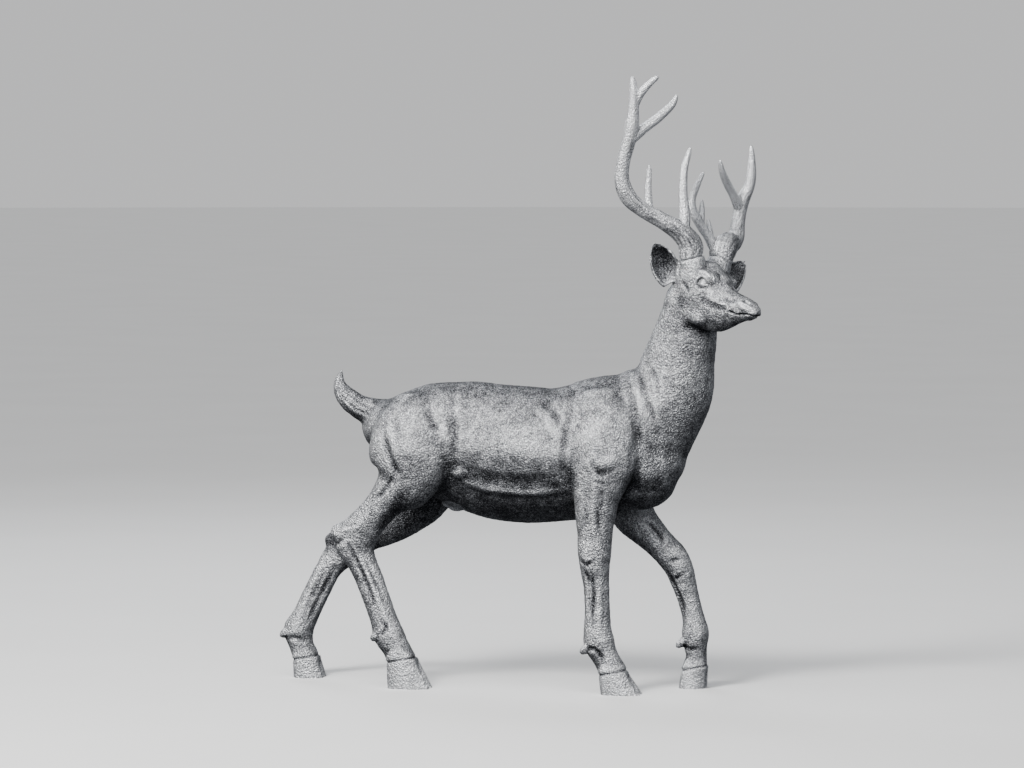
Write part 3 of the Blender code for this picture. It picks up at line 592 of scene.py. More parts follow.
def settle(piece):
    """Turns an object's modifiers into its mesh."""
    graph = bpy.context.evaluated_depsgraph_get()
    mesh = bpy.data.meshes.new_from_object(piece.evaluated_get(graph))
    piece.modifiers.clear()
    piece.data = mesh
    return piece


def fuse(pieces, voxel):
    piece = join(pieces)
    remesh = piece.modifiers.new("fuse", "REMESH")
    remesh.mode = "VOXEL"
    remesh.voxel_size = voxel
    return settle(piece)


def round_off(piece):
    """Splits each face in four and rounds it, so that no facet shows in a finer skin."""
    smooth = piece.modifiers.new("round", "SUBSURF")
    smooth.levels = smooth.render_levels = 1
    return settle(piece)


def thin(piece, triangles):
    piece.data.calc_loop_triangles()
    decimate = piece.modifiers.new("thin", "DECIMATE")
    decimate.ratio = min(1, triangles / len(piece.data.loop_triangles))
    decimate.use_collapse_triangulate = True
    return settle(piece)


def read(mesh, what="co"):
    values = np.empty(len(mesh.vertices) * 3)
    mesh.vertices.foreach_get(what, values)
    return values.reshape(-1, 3)


def write(mesh, points):
    mesh.vertices.foreach_set("co", points.ravel())
    mesh.update()


def edge_ends(mesh):
    ends = np.empty(len(mesh.edges) * 2, int)
    mesh.edges.foreach_get("vertices", ends)
    return ends.reshape(-1, 2)


def smoothed(points, ends, rounds, steps=(0.5,), amount=1.0):
    """Points drawn towards their neighbours, once for each step in each round."""
    count = np.bincount(ends.ravel(), minlength=len(points))[:, None]
    count = np.maximum(count, 1)
    for _ in range(rounds):
        for step in steps:
            total = np.zeros_like(points)
            for axis in range(points.shape[1]):
                total[:, axis] += np.bincount(ends[:, 0], points[ends[:, 1], axis], len(points))
                total[:, axis] += np.bincount(ends[:, 1], points[ends[:, 0], axis], len(points))
            points = points + step * amount * (total / count - points)
    return points


# A round of these two steps evens the surface out and pushes back what it shrank
EVEN_OUT = (0.5, -0.52)


def relax(piece, rounds, weight=None, steps=EVEN_OUT):
    points = read(piece.data)
    amount = 1.0 if weight is None else weight(points)[:, None]
    write(piece.data, smoothed(points, edge_ends(piece.data), rounds, steps, amount))


def near_line(points, line, width):
    """How close each point is to a line: 1 on it, 0 at `width` from it and farther."""
    low, high = line.min(axis=0) - width, line.max(axis=0) + width
    inside = ((points > low) & (points < high)).all(axis=1)
    chosen = points[inside]
    best = np.full(len(chosen), np.inf)
    for start, end in zip(line[:-1], line[1:]):
        run = end - start
        share = np.clip((chosen - start) @ run / max(run @ run, 1e-9), 0, 1)
        best = np.minimum(best, np.linalg.norm(chosen - start - share[:, None] * run, axis=1))
    near = np.zeros(len(points))
    near[inside] = np.clip(1 - (best / width) ** 2, 0, 1) ** 2
    return near


# How much of a stroke's length it takes to run out, and how deep it still is at its end
FADE_SHARE = 0.3
FADE_LEAST = 0.25


def ends_fade(points, line):
    """Lets a stroke run out softly at both of its ends."""
    reach = FADE_SHARE * np.linalg.norm(line[-1] - line[0])
    fade = np.ones(len(points))
    for end in (line[0], line[-1]):
        fade *= np.clip(np.linalg.norm(points - end, axis=1) / reach, FADE_LEAST, 1)
    return fade


# The small round forms under the belly: their middles and radii
SHEATH = {
    "sheath": ((-150, -3, 494), (26, 16, 15)),
    "sheath_back": ((-176, -3, 503), (15, 14, 13)),
}


def sheath_pieces(home):
    return [ball(name, centre, radii, home) for name, (centre, radii) in SHEATH.items()]


# The trunk is smoothed more than the rest: from nothing at the first height to fully at
# the second, and fully up to the first place ahead and not at all past the second
SMOOTH_HEIGHTS = (440.0, 530.0)
SMOOTH_AHEAD = (500.0, 560.0)


def rise_between(values, start, end):
    return np.clip((values - start) / (end - start), 0, 1)


def trunk_weight(points):
    """Full on the trunk and upper limbs, fading to nothing on the legs below and the head."""
    high = rise_between(points[:, 2] / MM, *SMOOTH_HEIGHTS)
    return high * (1 - rise_between(points[:, 0] / MM, *SMOOTH_AHEAD))


# Carving, drawn on the side view: the stroke's points (ahead, up), its half width and its
# depth, which is positive in a groove and negative on a ridge
SIDE_STROKES = [
    ([(-322, 712), (-318, 687), (-305, 645), (-288, 608), (-261, 579)], 17, 5.5),
    ([(-303, 722), (-298, 690), (-285, 650), (-266, 615)], 22, -3.0),
    ([(-212, 765), (-196, 730), (-174, 695)], 17, 4.0),
    ([(-152, 790), (-134, 715), (-134, 647), (-142, 608)], 20, 4.5),
    ([(-182, 770), (-164, 715), (-160, 650)], 20, -3.2),
    ([(176, 806), (173, 744), (169, 694), (164, 610), (172, 570)], 17, 5.2),
    ([(92, 792), (138, 750), (168, 705)], 16, 3.8),
    ([(70, 780), (112, 742), (148, 690)], 17, -3.0),
    ([(196, 800), (194, 740), (190, 690)], 16, -2.0),
    ([(318, 846), (339, 788), (352, 735), (360, 688), (336, 620)], 17, 5.0),
    ([(352, 872), (374, 811), (391, 768), (410, 706)], 14, 4.0),
    ([(374, 886), (400, 850), (418, 800)], 12, 3.0),
    ([(335, 858), (358, 800), (374, 745)], 14, -2.6),
    ([(-130, 584), (-96, 562), (-40, 547), (63, 540), (133, 546), (170, 552)], 13, -3.4),
    ([(-134, 614), (-96, 592), (-40, 578), (63, 571), (133, 577), (172, 584)], 28, 3.8),
    ([(240, 640), (262, 603), (292, 606)], 13, 3.0),
    ([(253, 594), (250, 500), (250, 440)], 13, -2.8),
    ([(228, 585), (228, 500), (230, 430)], 10, 1.6),
    ([(276, 575), (270, 500), (264, 440)], 10, 1.6),
    ([(-345, 735), (-390, 741), (-428, 757), (-458, 785), (-469, 815)], 6, 1.8),
    # A real groove, and through the stroke note also painted shade on the tail's lower side
    ([(-350, 712), (-400, 714), (-445, 730), (-472, 760)], 14, 2.6),
    ([(-350, 722), (-395, 725), (-435, 742), (-462, 770), (-474, 800)], 6, 1.8),
    ([(-350, 750), (-385, 757), (-418, 772), (-448, 797), (-464, 830)], 6, 1.4),
]

# Strokes on each leg, on both of its faces, by its side and by where it starts and ends
# ahead. They keep to what lies farther out than this from the middle
LEG_INNER_SIDE = 30
LEG_STROKES = {
    (RIGHT, 180, 400): [
        ([(258, 510), (261, 466), (264, 440)], 9, 2.2),
        ([(212, 369), (227, 356), (247, 367)], 8, 3.5),
        ([(214, 380), (232, 370), (250, 378)], 7, -2),
        ([(219, 346), (230, 327), (237, 301)], 8, 3.5),
        ([(242, 344), (247, 278), (244, 232), (244, 192)], 8, 4.5),
        ([(227, 317), (229, 260), (230, 199)], 8, -2.5),
        ([(261, 330), (263, 250), (261, 173)], 10, -3),
        ([(221, 128), (244, 134), (261, 124), (277, 101)], 10, 5),
    ],
    (LEFT, 180, 560): [
        ([(357, 458), (388, 429), (401, 402)], 9, 4),
        ([(425, 353), (445, 360)], 8, 3.5),
        ([(432, 303), (452, 320)], 8, 3.5),
        ([(408, 336), (432, 287), (452, 241), (459, 204)], 8, 4.5),
        ([(398, 322), (421, 276), (440, 232)], 7, -2.5),
        ([(449, 127), (472, 118), (496, 122)], 9, 4.5),
    ],
    (RIGHT, -520, -200): [
        ([(-420, 395), (-403, 363), (-383, 321), (-364, 276), (-350, 237)], 9, 5),
        ([(-392, 366), (-362, 300), (-338, 242), (-317, 196)], 10, -3.5),
        ([(-374, 350), (-345, 290), (-326, 250)], 6, 2),
        ([(-327, 193), (-317, 173), (-337, 153)], 9, 4.5),
        ([(-478, 404), (-457, 396), (-430, 418)], 9, 3.5),
        ([(-450, 436), (-411, 438), (-383, 451)], 10, -2.5),
        ([(-354, 516), (-318, 544), (-283, 598)], 12, 3.5),
        ([(-330, 425), (-307, 470), (-277, 515), (-255, 560)], 26, 3.0),
    ],
    (LEFT, -680, -200): [
        ([(-505, 318), (-534, 262), (-566, 200), (-590, 150)], 8, 3.5),
        ([(-488, 330), (-515, 268), (-550, 201), (-577, 145)], 9, -2.5),
        ([(-640, 120), (-615, 122), (-590, 116)], 9, 4.5),
        ([(-500, 372), (-478, 384), (-440, 384)], 9, 3.5),
        # A real groove, and through the stroke note also painted shade on the far hind cannon
        ([(-526, 330), (-556, 262), (-588, 190), (-604, 150)], 13, 2.4),
    ],
}

# Swellings on the sides: the middle, ahead and up, the half lengths and how far they
# stand out
SIDE_SWELLINGS = [
    (-250, 655, 62, 80, 7),
    (-120, 590, 30, 20, 6),
    (250, 700, 62, 70, 6),
    (262, 625, 50, 34, 6),
    (292, 630, 30, 28, 4),
    (376, 590, 46, 44, 6),
    (338, 534, 32, 26, 5),
    (60, 680, 110, 70, 4),
]

# Strokes on the head, in its own axes: (ahead, to the side, up), made on both sides
HEAD_STROKES = [
    ([(165, 2, -20), (150, 20, -24), (133, 25, -32), (119, 25, -38), (97, 28, -38)], 5, 4.0),
    ([(160, 8, -14), (148, 16, -18), (128, 22, -28), (112, 26, -32)], 7, -1.6),
    ([(123, 26, 6), (132, 24, 5), (141, 20, 3), (148, 15, 1)], 7, 8.0),
    ([(122, 25, 11), (134, 22, 9), (148, 16, 8)], 6, -1.6),
    ([(114, 26, -9), (128, 25, -12), (142, 19, -12)], 9, -2.4),
    ([(-22, 52, -9), (-19, 53, 1), (-12, 54, 7), (-2, 53, 8), (6, 49, 2)], 3.6, 2.8),
    ([(-20, 54, -12), (-11, 53, -15), (-1, 51, -14), (7, 49, -6)], 3.6, 2.2),
    ([(-28, 52, 0), (-18, 55, 12), (0, 53, 14), (10, 48, 7)], 5.5, -2.0),
    ([(-20, 54, -20), (-8, 52, -22), (6, 49, -16)], 5, -1.4),
    ([(-24, 52, 24), (-8, 52, 27), (6, 50, 22)], 9, -2.2),
    ([(-6, 46, 29), (14, 47, 22), (18, 43, 12)], 4.5, 1.5),
    ([(-13, 31, 33), (20, 41, 25), (27, 39, 14)], 4.5, 1.5),
    ([(-5, 18, 35), (10, 18, 32), (23, 24, 24)], 4.5, 1.4),
    ([(2, 38, 32), (18, 44, 24), (21, 41, 10)], 4, -1.2),
    ([(-93, 64, 20), (-86, 66, 4), (-76, 66, -14)], 9, 3.0),
    ([(-57, 60, -25), (-46, 60, -31), (-36, 59, -37)], 9, 2.6),
    ([(-4, 52, -27), (16, 44, -15), (52, 37, -18), (73, 33, -27)], 11, -2.2),
    ([(40, 41, -15), (59, 35, -22), (81, 30, -15), (100, 27, -8)], 12, 2.4),
    ([(16, 47, -40), (48, 38, -42), (76, 29, -40)], 14, 1.8),
    ([(40, 4, 26), (70, 3, 16), (100, 2, 10)], 9, 1.2),
    ([(20, 44, 0), (55, 38, -4), (95, 31, -8), (116, 26, -10)], 20, -1.6),
]


# The finer skin of the head starts here: ahead of, and above
HEAD_REAR = 435.0
HEAD_BASE = 985.0


# A side carries its strokes fully where it faces outward by one part in this, and a stroke
# is followed in this many steps for each of its points
SIDE_FACING = 1.6
STEPS_PER_STATION = 5


def facing_out(points, normals):
    return np.clip(np.sign(points[:, 1]) * normals[:, 1] * SIDE_FACING, 0, 1)


def fine_line(stations):
    return smooth_between(stations, STEPS_PER_STATION * len(stations))


def side_relief(points, strokes, facing):
    """How far the strokes of the side view move each point out along its normal."""
    view = points[:, [0, 2]]
    move = np.zeros(len(points))
    for stations, width, depth in strokes:
        line = fine_line(stations)
        move -= depth * near_line(view, line, width) * facing * ends_fade(view, line)
    return move


def body_relief(points, normals):
    return side_relief(points, SIDE_STROKES, facing_out(points, normals))


def leg_relief(points, normals):
    """The strokes of each leg, kept to its own side and its own part of the length."""
    move = np.zeros(len(points))
    for (hand, rear, front), strokes in LEG_STROKES.items():
        own = (points[:, 0] > rear) & (points[:, 0] < front)
        own &= points[:, 1] * hand > LEG_INNER_SIDE
        facing = np.clip(np.abs(normals[own, 1]) * SIDE_FACING, 0, 1)
        move[own] += side_relief(points[own], strokes, facing)
    return move


def swell(points, normals):
    move = np.zeros(len(points))
    facing = facing_out(points, normals)
    for x, z, long, high, out in SIDE_SWELLINGS:
        spread = ((points[:, 0] - x) / long) ** 2
        spread += ((points[:, 2] - z) / high) ** 2
        move += out * np.clip(1 - spread, 0, 1) ** 2 * facing
    return move


def in_head(points):
    return (points[:, 0] > HEAD_REAR) & (points[:, 2] > HEAD_BASE)


def head_relief(points, normals):
    """The strokes of the head, each laid on the skin at the points nearest to it."""
    move = np.zeros(len(points))
    own = in_head(points)
    head = points[own]
    for stations, width, depth in HEAD_STROKES:
        for hand in HANDS:
            drawn = [np.array(on_head(f, hand * side, up)) for f, side, up in stations]
            laid = [head[np.argmin(np.linalg.norm(head - dot, axis=1))] for dot in drawn]
            move[own] -= depth * near_line(head, fine_line(laid), width)
    return move


# The top edge of each hoof: how it leans, how wide and deep its line is, and how far
# round the leg's end the hoof is looked for
CORONET_TILT = 0.2
CORONET_LINE = 5.0
CORONET_DEPTH = 3.2
HOOF_REACH = (75, 55)
HORN_FADE = 4


def hoof_tops(points):
    """For each hoof: which points are near it, and how high they are over its top edge."""
    for hoof in HOOVES:
        x, z = hoof.top
        ahead, across = np.abs(points[:, 0] - x), np.abs(points[:, 1] - hoof.y)
        own = (ahead < HOOF_REACH[0]) & (across < HOOF_REACH[1])
        yield own, points[:, 2] - (z + CORONET_TILT * (points[:, 0] - x))


def hoof_relief(points, normals):
    """The line round the top of each hoof, where horn meets hair."""
    move = np.zeros(len(points))
    for own, over in hoof_tops(points):
        near = np.clip(1 - ((over - 1) / CORONET_LINE) ** 2, 0, 1) ** 2
        move -= CORONET_DEPTH * near * own
    return move


# How strongly the finish darkens and brightens the strokes of each relief
RELIEFS = {body_relief: 0.5, leg_relief: 1.8, hoof_relief: 1.0, head_relief: 1.3}


def move_out(piece, relief):
    mesh = piece.data
    points, normals = read(mesh) / MM, read(mesh, "normal")
    write(mesh, (points + relief(points, normals)[:, None] * normals) * MM)


def horn_mask(points):
    """1 on the hooves, 0 above them."""
    mask = np.zeros(len(points))
    for own, over in hoof_tops(points):
        mask = np.maximum(mask, np.clip(-over / HORN_FADE, 0, 1) * own)
    return mask


# How far an eyeball's edge fades out
EYE_FADE = 1.5


def eye_mask(points):
    """1 on the eyeballs."""
    mask = np.zeros(len(points))
    ahead, left, up, radius = EYE_BALL
    for hand in HANDS:
        away = np.linalg.norm(points - np.array(on_head(ahead, hand * left, up)), axis=1)
        mask = np.maximum(mask, np.clip((radius + EYE_FADE - away) / EYE_FADE, 0, 1))
    return mask


# The hammered skin of the casting: how many blows to a metre and how deep, in millimetres.
# The horn of the hooves takes less of it
BLOWS = [(60, 0.8), (130, 0.55), (260, 0.4)]
HORN_SMOOTHNESS = 0.7


def hammered(points, normals):
    """A height at each point, the same each time the script runs."""
    height = np.empty(len(points))
    for number, (x, y, z) in enumerate(points * MM):
        spot = Vector((x, y, z))
        height[number] = sum(deep * noise.noise(spot * often) for often, deep in BLOWS)
    return height * (1 - np.maximum(HORN_SMOOTHNESS * horn_mask(points), eye_mask(points)))


# Rounds of smoothing: to blend the limbs of the trunk, to even it out, and to take the
# voxels' steps off the fine skin and off the antlers
BLEND_ROUNDS = 10
EVEN_ROUNDS = 4
SKIN_ROUNDS = 3
CARVED_ROUNDS = 1
ANTLER_ROUNDS = 6


def split_head(piece):
    """Splits the faces of the head in four, for its finer carving."""
    shape = bmesh.new()
    shape.from_mesh(piece.data)
    rear, base = HEAD_REAR * MM, HEAD_BASE * MM
    edges = [e for e in shape.edges if all(v.co.x > rear and v.co.z > base for v in e.verts)]
    bmesh.ops.subdivide_edges(shape, edges=edges, cuts=1, use_grid_fill=True)
    shape.to_mesh(piece.data)
    shape.free()
    piece.data.update()
    relax(piece, SKIN_ROUNDS, lambda points: in_head(points / MM).astype(float))


def cut_soles(piece):
    """Cuts the hooves off flat at the ground and closes them."""
    shape = bmesh.new()
    shape.from_mesh(piece.data)
    everything = shape.verts[:] + shape.edges[:] + shape.faces[:]
    ground = (0, 0, GROUND_LEVEL * MM)
    bmesh.ops.bisect_plane(shape, geom=everything, plane_co=ground, plane_no=UP, clear_inner=True)
    open_edges = [edge for edge in shape.edges if edge.is_boundary]
    closed = bmesh.ops.holes_fill(shape, edges=open_edges, sides=0)["faces"]
    bmesh.ops.triangulate(shape, faces=closed)
    shape.to_mesh(piece.data)
    shape.free()
    piece.data.update()


# The open seam between an antler and its pedicle, which leaves the middle of the seat flat
SEAM_HALF_HEIGHT = 3.6
SEAM_DEPTH = 4.5
SEAT_CORE = 12

# The sides of a seat, and how far past its edge each is pressed flat
STUMP_SIDE = -1
ANTLER_SIDE = 1
SEAT_MARGIN = {STUMP_SIDE: 12.0, ANTLER_SIDE: 42.0}


def seat_heights(points, place):
    """How high each point is over the seat plane, and its way out from the seat's middle."""
    away = points - np.array(place.centre)
    normal = np.array(place.normal)
    height = away @ normal
    return height, away - height[:, None] * normal


def flatten_seat(points, place, side):
    """Presses the end of a stump or an antler flat on its seat, with the seam's groove."""
    normal = np.array(place.normal)
    gap = SEAT_GAP / 2
    height, flat = seat_heights(points, place)
    reach = np.linalg.norm(flat, axis=1)
    own = reach < PEDICLE_RADIUS + SEAT_MARGIN[side]
    past = own & (height * side < gap)
    points = points.copy()
    points[past] += ((gap * side - height)[:, None] * normal)[past]
    height = np.where(past, gap * side, height)
    groove = np.clip(1 - (height / SEAM_HALF_HEIGHT) ** 2, 0, 1) * own * (reach > SEAT_CORE)
    inward = flat / np.maximum(reach, 1)[:, None]
    return points - SEAM_DEPTH * groove[:, None] * inward


def seat_stumps(piece):
    points = read(piece.data) / MM
    for hand in HANDS:
        points = flatten_seat(points, seat(hand), STUMP_SIDE)
    write(piece.data, points * MM)


# The surface is shaded with an edge where it turns by more than this
SHARP_TURN = math.radians(58)


def make_body(home):
    trunk = [loft(name, stations, home) for name, stations in LOFTS.items()]
    body = fuse(trunk + hock_pieces(home) + head_pieces(home), TRUNK_VOXEL)
    relax(body, BLEND_ROUNDS, trunk_weight, steps=(0.5,))
    relax(body, EVEN_ROUNDS)
    round_off(body)
    fine = [body] + hoof_pieces(home) + dewclaw_pieces(home) + ear_pieces(home)
    fine += pedicle_pieces(home) + eye_pieces(home) + sheath_pieces(home)
    body = fuse(fine, SKIN_VOXEL)
    relax(body, SKIN_ROUNDS)
    move_out(body, swell)
    move_out(body, body_relief)
    split_head(body)
    move_out(body, leg_relief)
    move_out(body, hoof_relief)
    move_out(body, head_relief)
    relax(body, CARVED_ROUNDS)
    move_out(body, hammered)
    seat_stumps(body)
    cut_soles(body)
    body.name = "cast_body"
    thin(body, BODY_TRIANGLES)
    body.data.set_sharp_from_angle(angle=SHARP_TURN)
    shade_body(body)
    return body


def set_values(mesh, name, values):
    layer = mesh.attributes.new(name, "FLOAT", "POINT")
    layer.data.foreach_set("value", np.asarray(values, np.float32))


def hollows(points, normals, ends, rounds, deep):
    """1 in a hollow `deep` millimetres below what lies round it, -1 on such a ridge."""
    level = smoothed(points, ends, rounds)
    return np.clip(((level - points) * normals).sum(axis=1) / deep, -1, 1)


# Notes for the finish: the rounds of smoothing and the depth in millimetres that tell a
# fine and a wide hollow, how much stronger wide ones are in the head, and the depth of a
# full stroke
LEAN_ROUNDS = 8
FINE_HOLLOW = (6, 0.7)
WIDE_HOLLOW = (60, 5)
HEAD_HOLLOWS = 2.5
FULL_STROKE = 5

# Painted shade darkens undersides, from this much on an upright side and more strongly the more
# it faces down. Less of it goes on the jaw, the face, the top of the head and the sheath
UPRIGHT_SHADE = 0.15
UNDERSIDE_SHADE = 1.25
JAW_UNSHADED = 0.1
FACE_UNSHADED = 0.65
FACE_HEIGHTS = (1060, 1100)
SHEATH_REACH = 40
SHEATH_UNSHADED = 0.8
HEAD_TOP_UNSHADED = 0.5

# Painted shade also darkens between the thighs, down the front of them and the hair of the
# tail: each from nothing at the first place to fully at the second. A shade is how fast it
# darkens as the surface turns that way, and what it starts from
THIGH_FRONT = -40
THIGH_HEIGHTS = (340, 380)
THIGH_SHADE = (1.8, -0.15)
THIGH_MOST = 1.05
GASKIN_FRONT = -150
GASKIN_HEIGHTS = (610, 540)
GASKIN_SHADE = (0.9, 0.2)
GASKIN_MOST = 0.55
TAIL_PLACES = (-400, -425)
TAIL_HEIGHTS = (700, 725)
TAIL_SHADE = 0.32


def lean(normals, axis, ends):
    """How far the surface faces along an axis, with its fine relief smoothed away."""
    return smoothed(normals[:, [axis]], ends, LEAN_ROUNDS)[:, 0]


def painted_shade(points, normals, ends, below, shade_lifted):
    """How much painted shade darkens each point: undersides, between and in front of the thighs,
    and the tail.
    """
    x, y, z = points.T
    # The sheath keeps little of the painted shade, so that it looks lit
    lit = np.linalg.norm(points - SHEATH["sheath"][0], axis=1) < SHEATH_REACH
    under = np.clip(UPRIGHT_SHADE - UNDERSIDE_SHADE * below, 0, 1)
    under *= (1 - shade_lifted) * (1 - SHEATH_UNSHADED * lit)
    inward, ahead = -lean(normals, 1, ends) * np.sign(y), lean(normals, 0, ends)
    # Painted shade between and down the front of the thighs, and on the tail
    thigh = (x < THIGH_FRONT) * rise_between(z, *THIGH_HEIGHTS)
    gaskin = thigh * (x < GASKIN_FRONT) * rise_between(z, *GASKIN_HEIGHTS)
    thigh = thigh * np.clip(THIGH_SHADE[0] * inward + THIGH_SHADE[1], 0, THIGH_MOST)
    gaskin = gaskin * np.clip(GASKIN_SHADE[0] * ahead + GASKIN_SHADE[1], 0, GASKIN_MOST)
    tail = rise_between(x, *TAIL_PLACES) * rise_between(z, *TAIL_HEIGHTS) * TAIL_SHADE
    return np.max([under, thigh, gaskin, tail], axis=0)


def shade_body(piece):
    """Notes for the finish on every point: hollows, painted shade on undersides and upward faces,
    strokes, horn.
    """
    mesh = piece.data
    points, normals, ends = read(mesh) / MM, read(mesh, "normal"), edge_ends(mesh)
    strokes = sum(weight * relief(points, normals) for relief, weight in RELIEFS.items())
    wide = hollows(points, normals, ends, *WIDE_HOLLOW)
    below, head, horn = lean(normals, 2, ends), in_head(points), horn_mask(points)
    face = rise_between(points[:, 2], *FACE_HEIGHTS)
    # Less painted shade on the hooves and the head, least on the face
    shade_lifted = np.maximum(horn, head * (JAW_UNSHADED + FACE_UNSHADED * face))
    notes = {
        "fine_hollow": hollows(points, normals, ends, *FINE_HOLLOW),
        "wide_hollow": np.where(head, HEAD_HOLLOWS * wide, wide),
        # Darker in grooves and lighter on ridges; the tail and far hind cannon strokes add painted
        # shade
        "stroke": np.clip(strokes / FULL_STROKE, -1, 1),
        "horn": horn,
        "eyeball": eye_mask(points),
        # Painted shade: undersides, inner thighs, gaskins and tail darkened
        "painted_shade": painted_shade(points, normals, ends, below, shade_lifted),
        # Painted shade on upward faces, less of it over the head
        "painted_top_shade": np.clip(below, 0, 1) ** 2 * (1 - HEAD_TOP_UNSHADED * head),
    }
    for name, values in notes.items():
        set_values(mesh, name, values)


# The antlers: how far apart the grooves along them lie, and how deep these and the pearls
# at the foot are
STREAK_PITCH = 1 / 9
STREAK_LENGTH = 1 / 75
STREAK_DEPTH = 1.7
PEARL_PITCH = 1 / 6
PEARL_RISE = 0.45
PEARL_DEPTH = 2.4
PEARL_REACH = 50.0

# How rough an antler is from its foot to its tip, at least, and how much less deep the
# grooves are and how much denser the pearls at its foot
ROUGHNESS = 1.25
ROUGHNESS_FALL = 1.4
LEAST_ROUGH = 0.12
FOOT_SMOOTHING = 0.6
FOOT_PEARLS = 1.6
BEAM_PEARLS = 0.25

# Each rod's grain starts this much farther on than the one before, and a tine is as bright
# at its foot as a beam at this part of its length. A thinner rod counts as this thick, and
# each is followed in so many steps for each of its points
GRAIN_START = 500.0
TINE_BRIGHTNESS = 0.6
LEAST_RADIUS = 4
ROD_STEPS = 6
ANTLER_HOLLOW = (6, 0.5)
# How fast painted shade darkens an antler as its surface faces down
ANTLER_UNDERSIDE = 1.2


def rod_frames(stations):
    """Points along a rod with the two directions across it and the length so far."""
    rows = smooth_between(stations, ROD_STEPS * len(stations))
    runs = np.gradient(rows[:, :3], axis=0)
    side = Vector((1, 0, 0))
    frames = []
    length = 0.0
    before = rows[0]
    for row, run in zip(rows, runs):
        run = Vector(run).normalized()
        side = (side - run * side.dot(run)).normalized()
        length += float(np.linalg.norm(row[:3] - before[:3]))
        frames.append((row[:3], np.array(side), np.array(run.cross(side)), abs(row[3]), length))
        before = row
    return frames


def along_rods(points, rods):
    """For each point: its place round and along the nearest rod, and how near the tip it is.

    The first rod is the beam; the tines after it are bright from their feet on.
    """
    best = np.full(len(points), np.inf)
    grain = np.zeros((len(points), 3))
    tip = np.zeros(len(points))
    for number, stations in enumerate(rods):
        frames = rod_frames(stations)
        whole = frames[-1][4]
        for centre, side, deep, radius, length in frames:
            away = points - centre
            gap = np.linalg.norm(away, axis=1) / max(radius, LEAST_RADIUS)
            nearer = gap < best
            best[nearer] = gap[nearer]
            across = away[nearer]
            x, y = across @ side, across @ deep
            reach = np.maximum(np.hypot(x, y), 1e-6)
            around = np.stack([radius * x / reach, radius * y / reach], axis=1)
            place = np.full(nearer.sum(), GRAIN_START * number + length)
            grain[nearer] = np.column_stack([around, place])
            foot = TINE_BRIGHTNESS if number else 0
            tip[nearer] = foot + (1 - foot) * length / whole
    return grain, tip


def streaks(grain):
    """Long grooves that follow the rods."""
    scale = np.array([STREAK_PITCH, STREAK_PITCH, STREAK_LENGTH])
    return np.array([noise.noise(Vector(spot)) for spot in grain * scale])


def pearls(points):
    """Small round lumps."""
    spots = points * PEARL_PITCH
    return np.array([PEARL_RISE - noise.voronoi(Vector(spot))[0][0] for spot in spots])


def foot_share(points, place):
    """1 at an antler's seat, 0 past the last pearls."""
    return np.clip(1 - seat_heights(points, place)[0] / PEARL_REACH, 0, 1)


def make_antler(hand, home):
    rods, place = antler_rods(hand), seat(hand)
    name = f"antler_{HANDS[hand]}"
    tubes = [
        loft(f"{name}_rod_{number}", rod, home, side_axis=place.axes[1], carry=True)
        for number, rod in enumerate(rods)
    ]
    antler = fuse(tubes, ANTLER_VOXEL)
    relax(antler, ANTLER_ROUNDS)
    mesh = antler.data
    points, normals = read(mesh) / MM, read(mesh, "normal")
    grain, tip = along_rods(points, rods)
    rough = np.clip(ROUGHNESS - ROUGHNESS_FALL * tip, LEAST_ROUGH, 1)
    foot = foot_share(points, place)
    lumps = np.clip(foot * FOOT_PEARLS + BEAM_PEARLS * rough, 0, 1)
    move = STREAK_DEPTH * streaks(grain) * rough * (1 - FOOT_SMOOTHING * foot)
    move += PEARL_DEPTH * pearls(points) * lumps
    points = flatten_seat(points + move[:, None] * normals, place, ANTLER_SIDE)
    write(mesh, points * MM)
    antler.name = "cast_" + name
    thin(antler, ANTLER_TRIANGLES)
    shade_antler(antler, rods, place)
    return antler


def shade_antler(piece, rods, place):
    """Notes for the finish on every point: the grain, the tip, the foot, hollows and painted shade
    on the undersides.
    """
    mesh = piece.data
    points, normals, ends = read(mesh) / MM, read(mesh, "normal"), edge_ends(mesh)
    grain, tip = along_rods(points, rods)
    layer = mesh.attributes.new("grain", "FLOAT_VECTOR", "POINT")
    layer.data.foreach_set("vector", np.asarray(grain * MM, np.float32).ravel())
    set_values(mesh, "tip", tip)
    set_values(mesh, "foot", foot_share(points, place))
    set_values(mesh, "fine_hollow", hollows(points, normals, ends, *ANTLER_HOLLOW))
    # Painted shade on the undersides of the antler
    underside = -ANTLER_UNDERSIDE * lean(normals, 2, ends)
    set_values(mesh, "painted_shade", np.clip(underside, 0, 1))


# Finishes


def feed(tree, socket, value):
    """Links a socket to another one, or gives it a plain value."""
    if isinstance(value, bpy.types.NodeSocket):
        tree.links.new(value, socket)
    else:
        socket.default_value = value


def node(tree, kind, **values):
    """A shader node with its settings and its inputs, each a plain value or a socket."""
    made = tree.nodes.new("ShaderNode" + kind)
    for name, value in values.items():
        if name in made.bl_rna.properties:
            setattr(made, name, value)
        else:
            feed(tree, made.inputs[name.replace("_", " ")], value)
    return made


def maths(tree, operation, *values, clamp=False):
    """A sum, product or the like of sockets and numbers."""
    made = node(tree, "Math", operation=operation, use_clamp=clamp)
    for socket, value in zip(made.inputs, values):
        feed(tree, socket, value)
    return made.outputs[0]


def ramp(tree, value, low, high):
    """Colours along a value, from one (place, grey or colour) to the other."""
    made = node(tree, "ValToRGB", Fac=value)
    for element, (place, tone) in zip(made.color_ramp.elements, (low, high)):
        colour = (tone, tone, tone) if isinstance(tone, (int, float)) else tone
        element.position = place
        element.color = (*colour, 1)
    return made.outputs["Color"]


def note(tree, name, output="Fac"):
    """A value that was noted on the points of the mesh."""
    return node(tree, "Attribute", attribute_name=name).outputs[output]


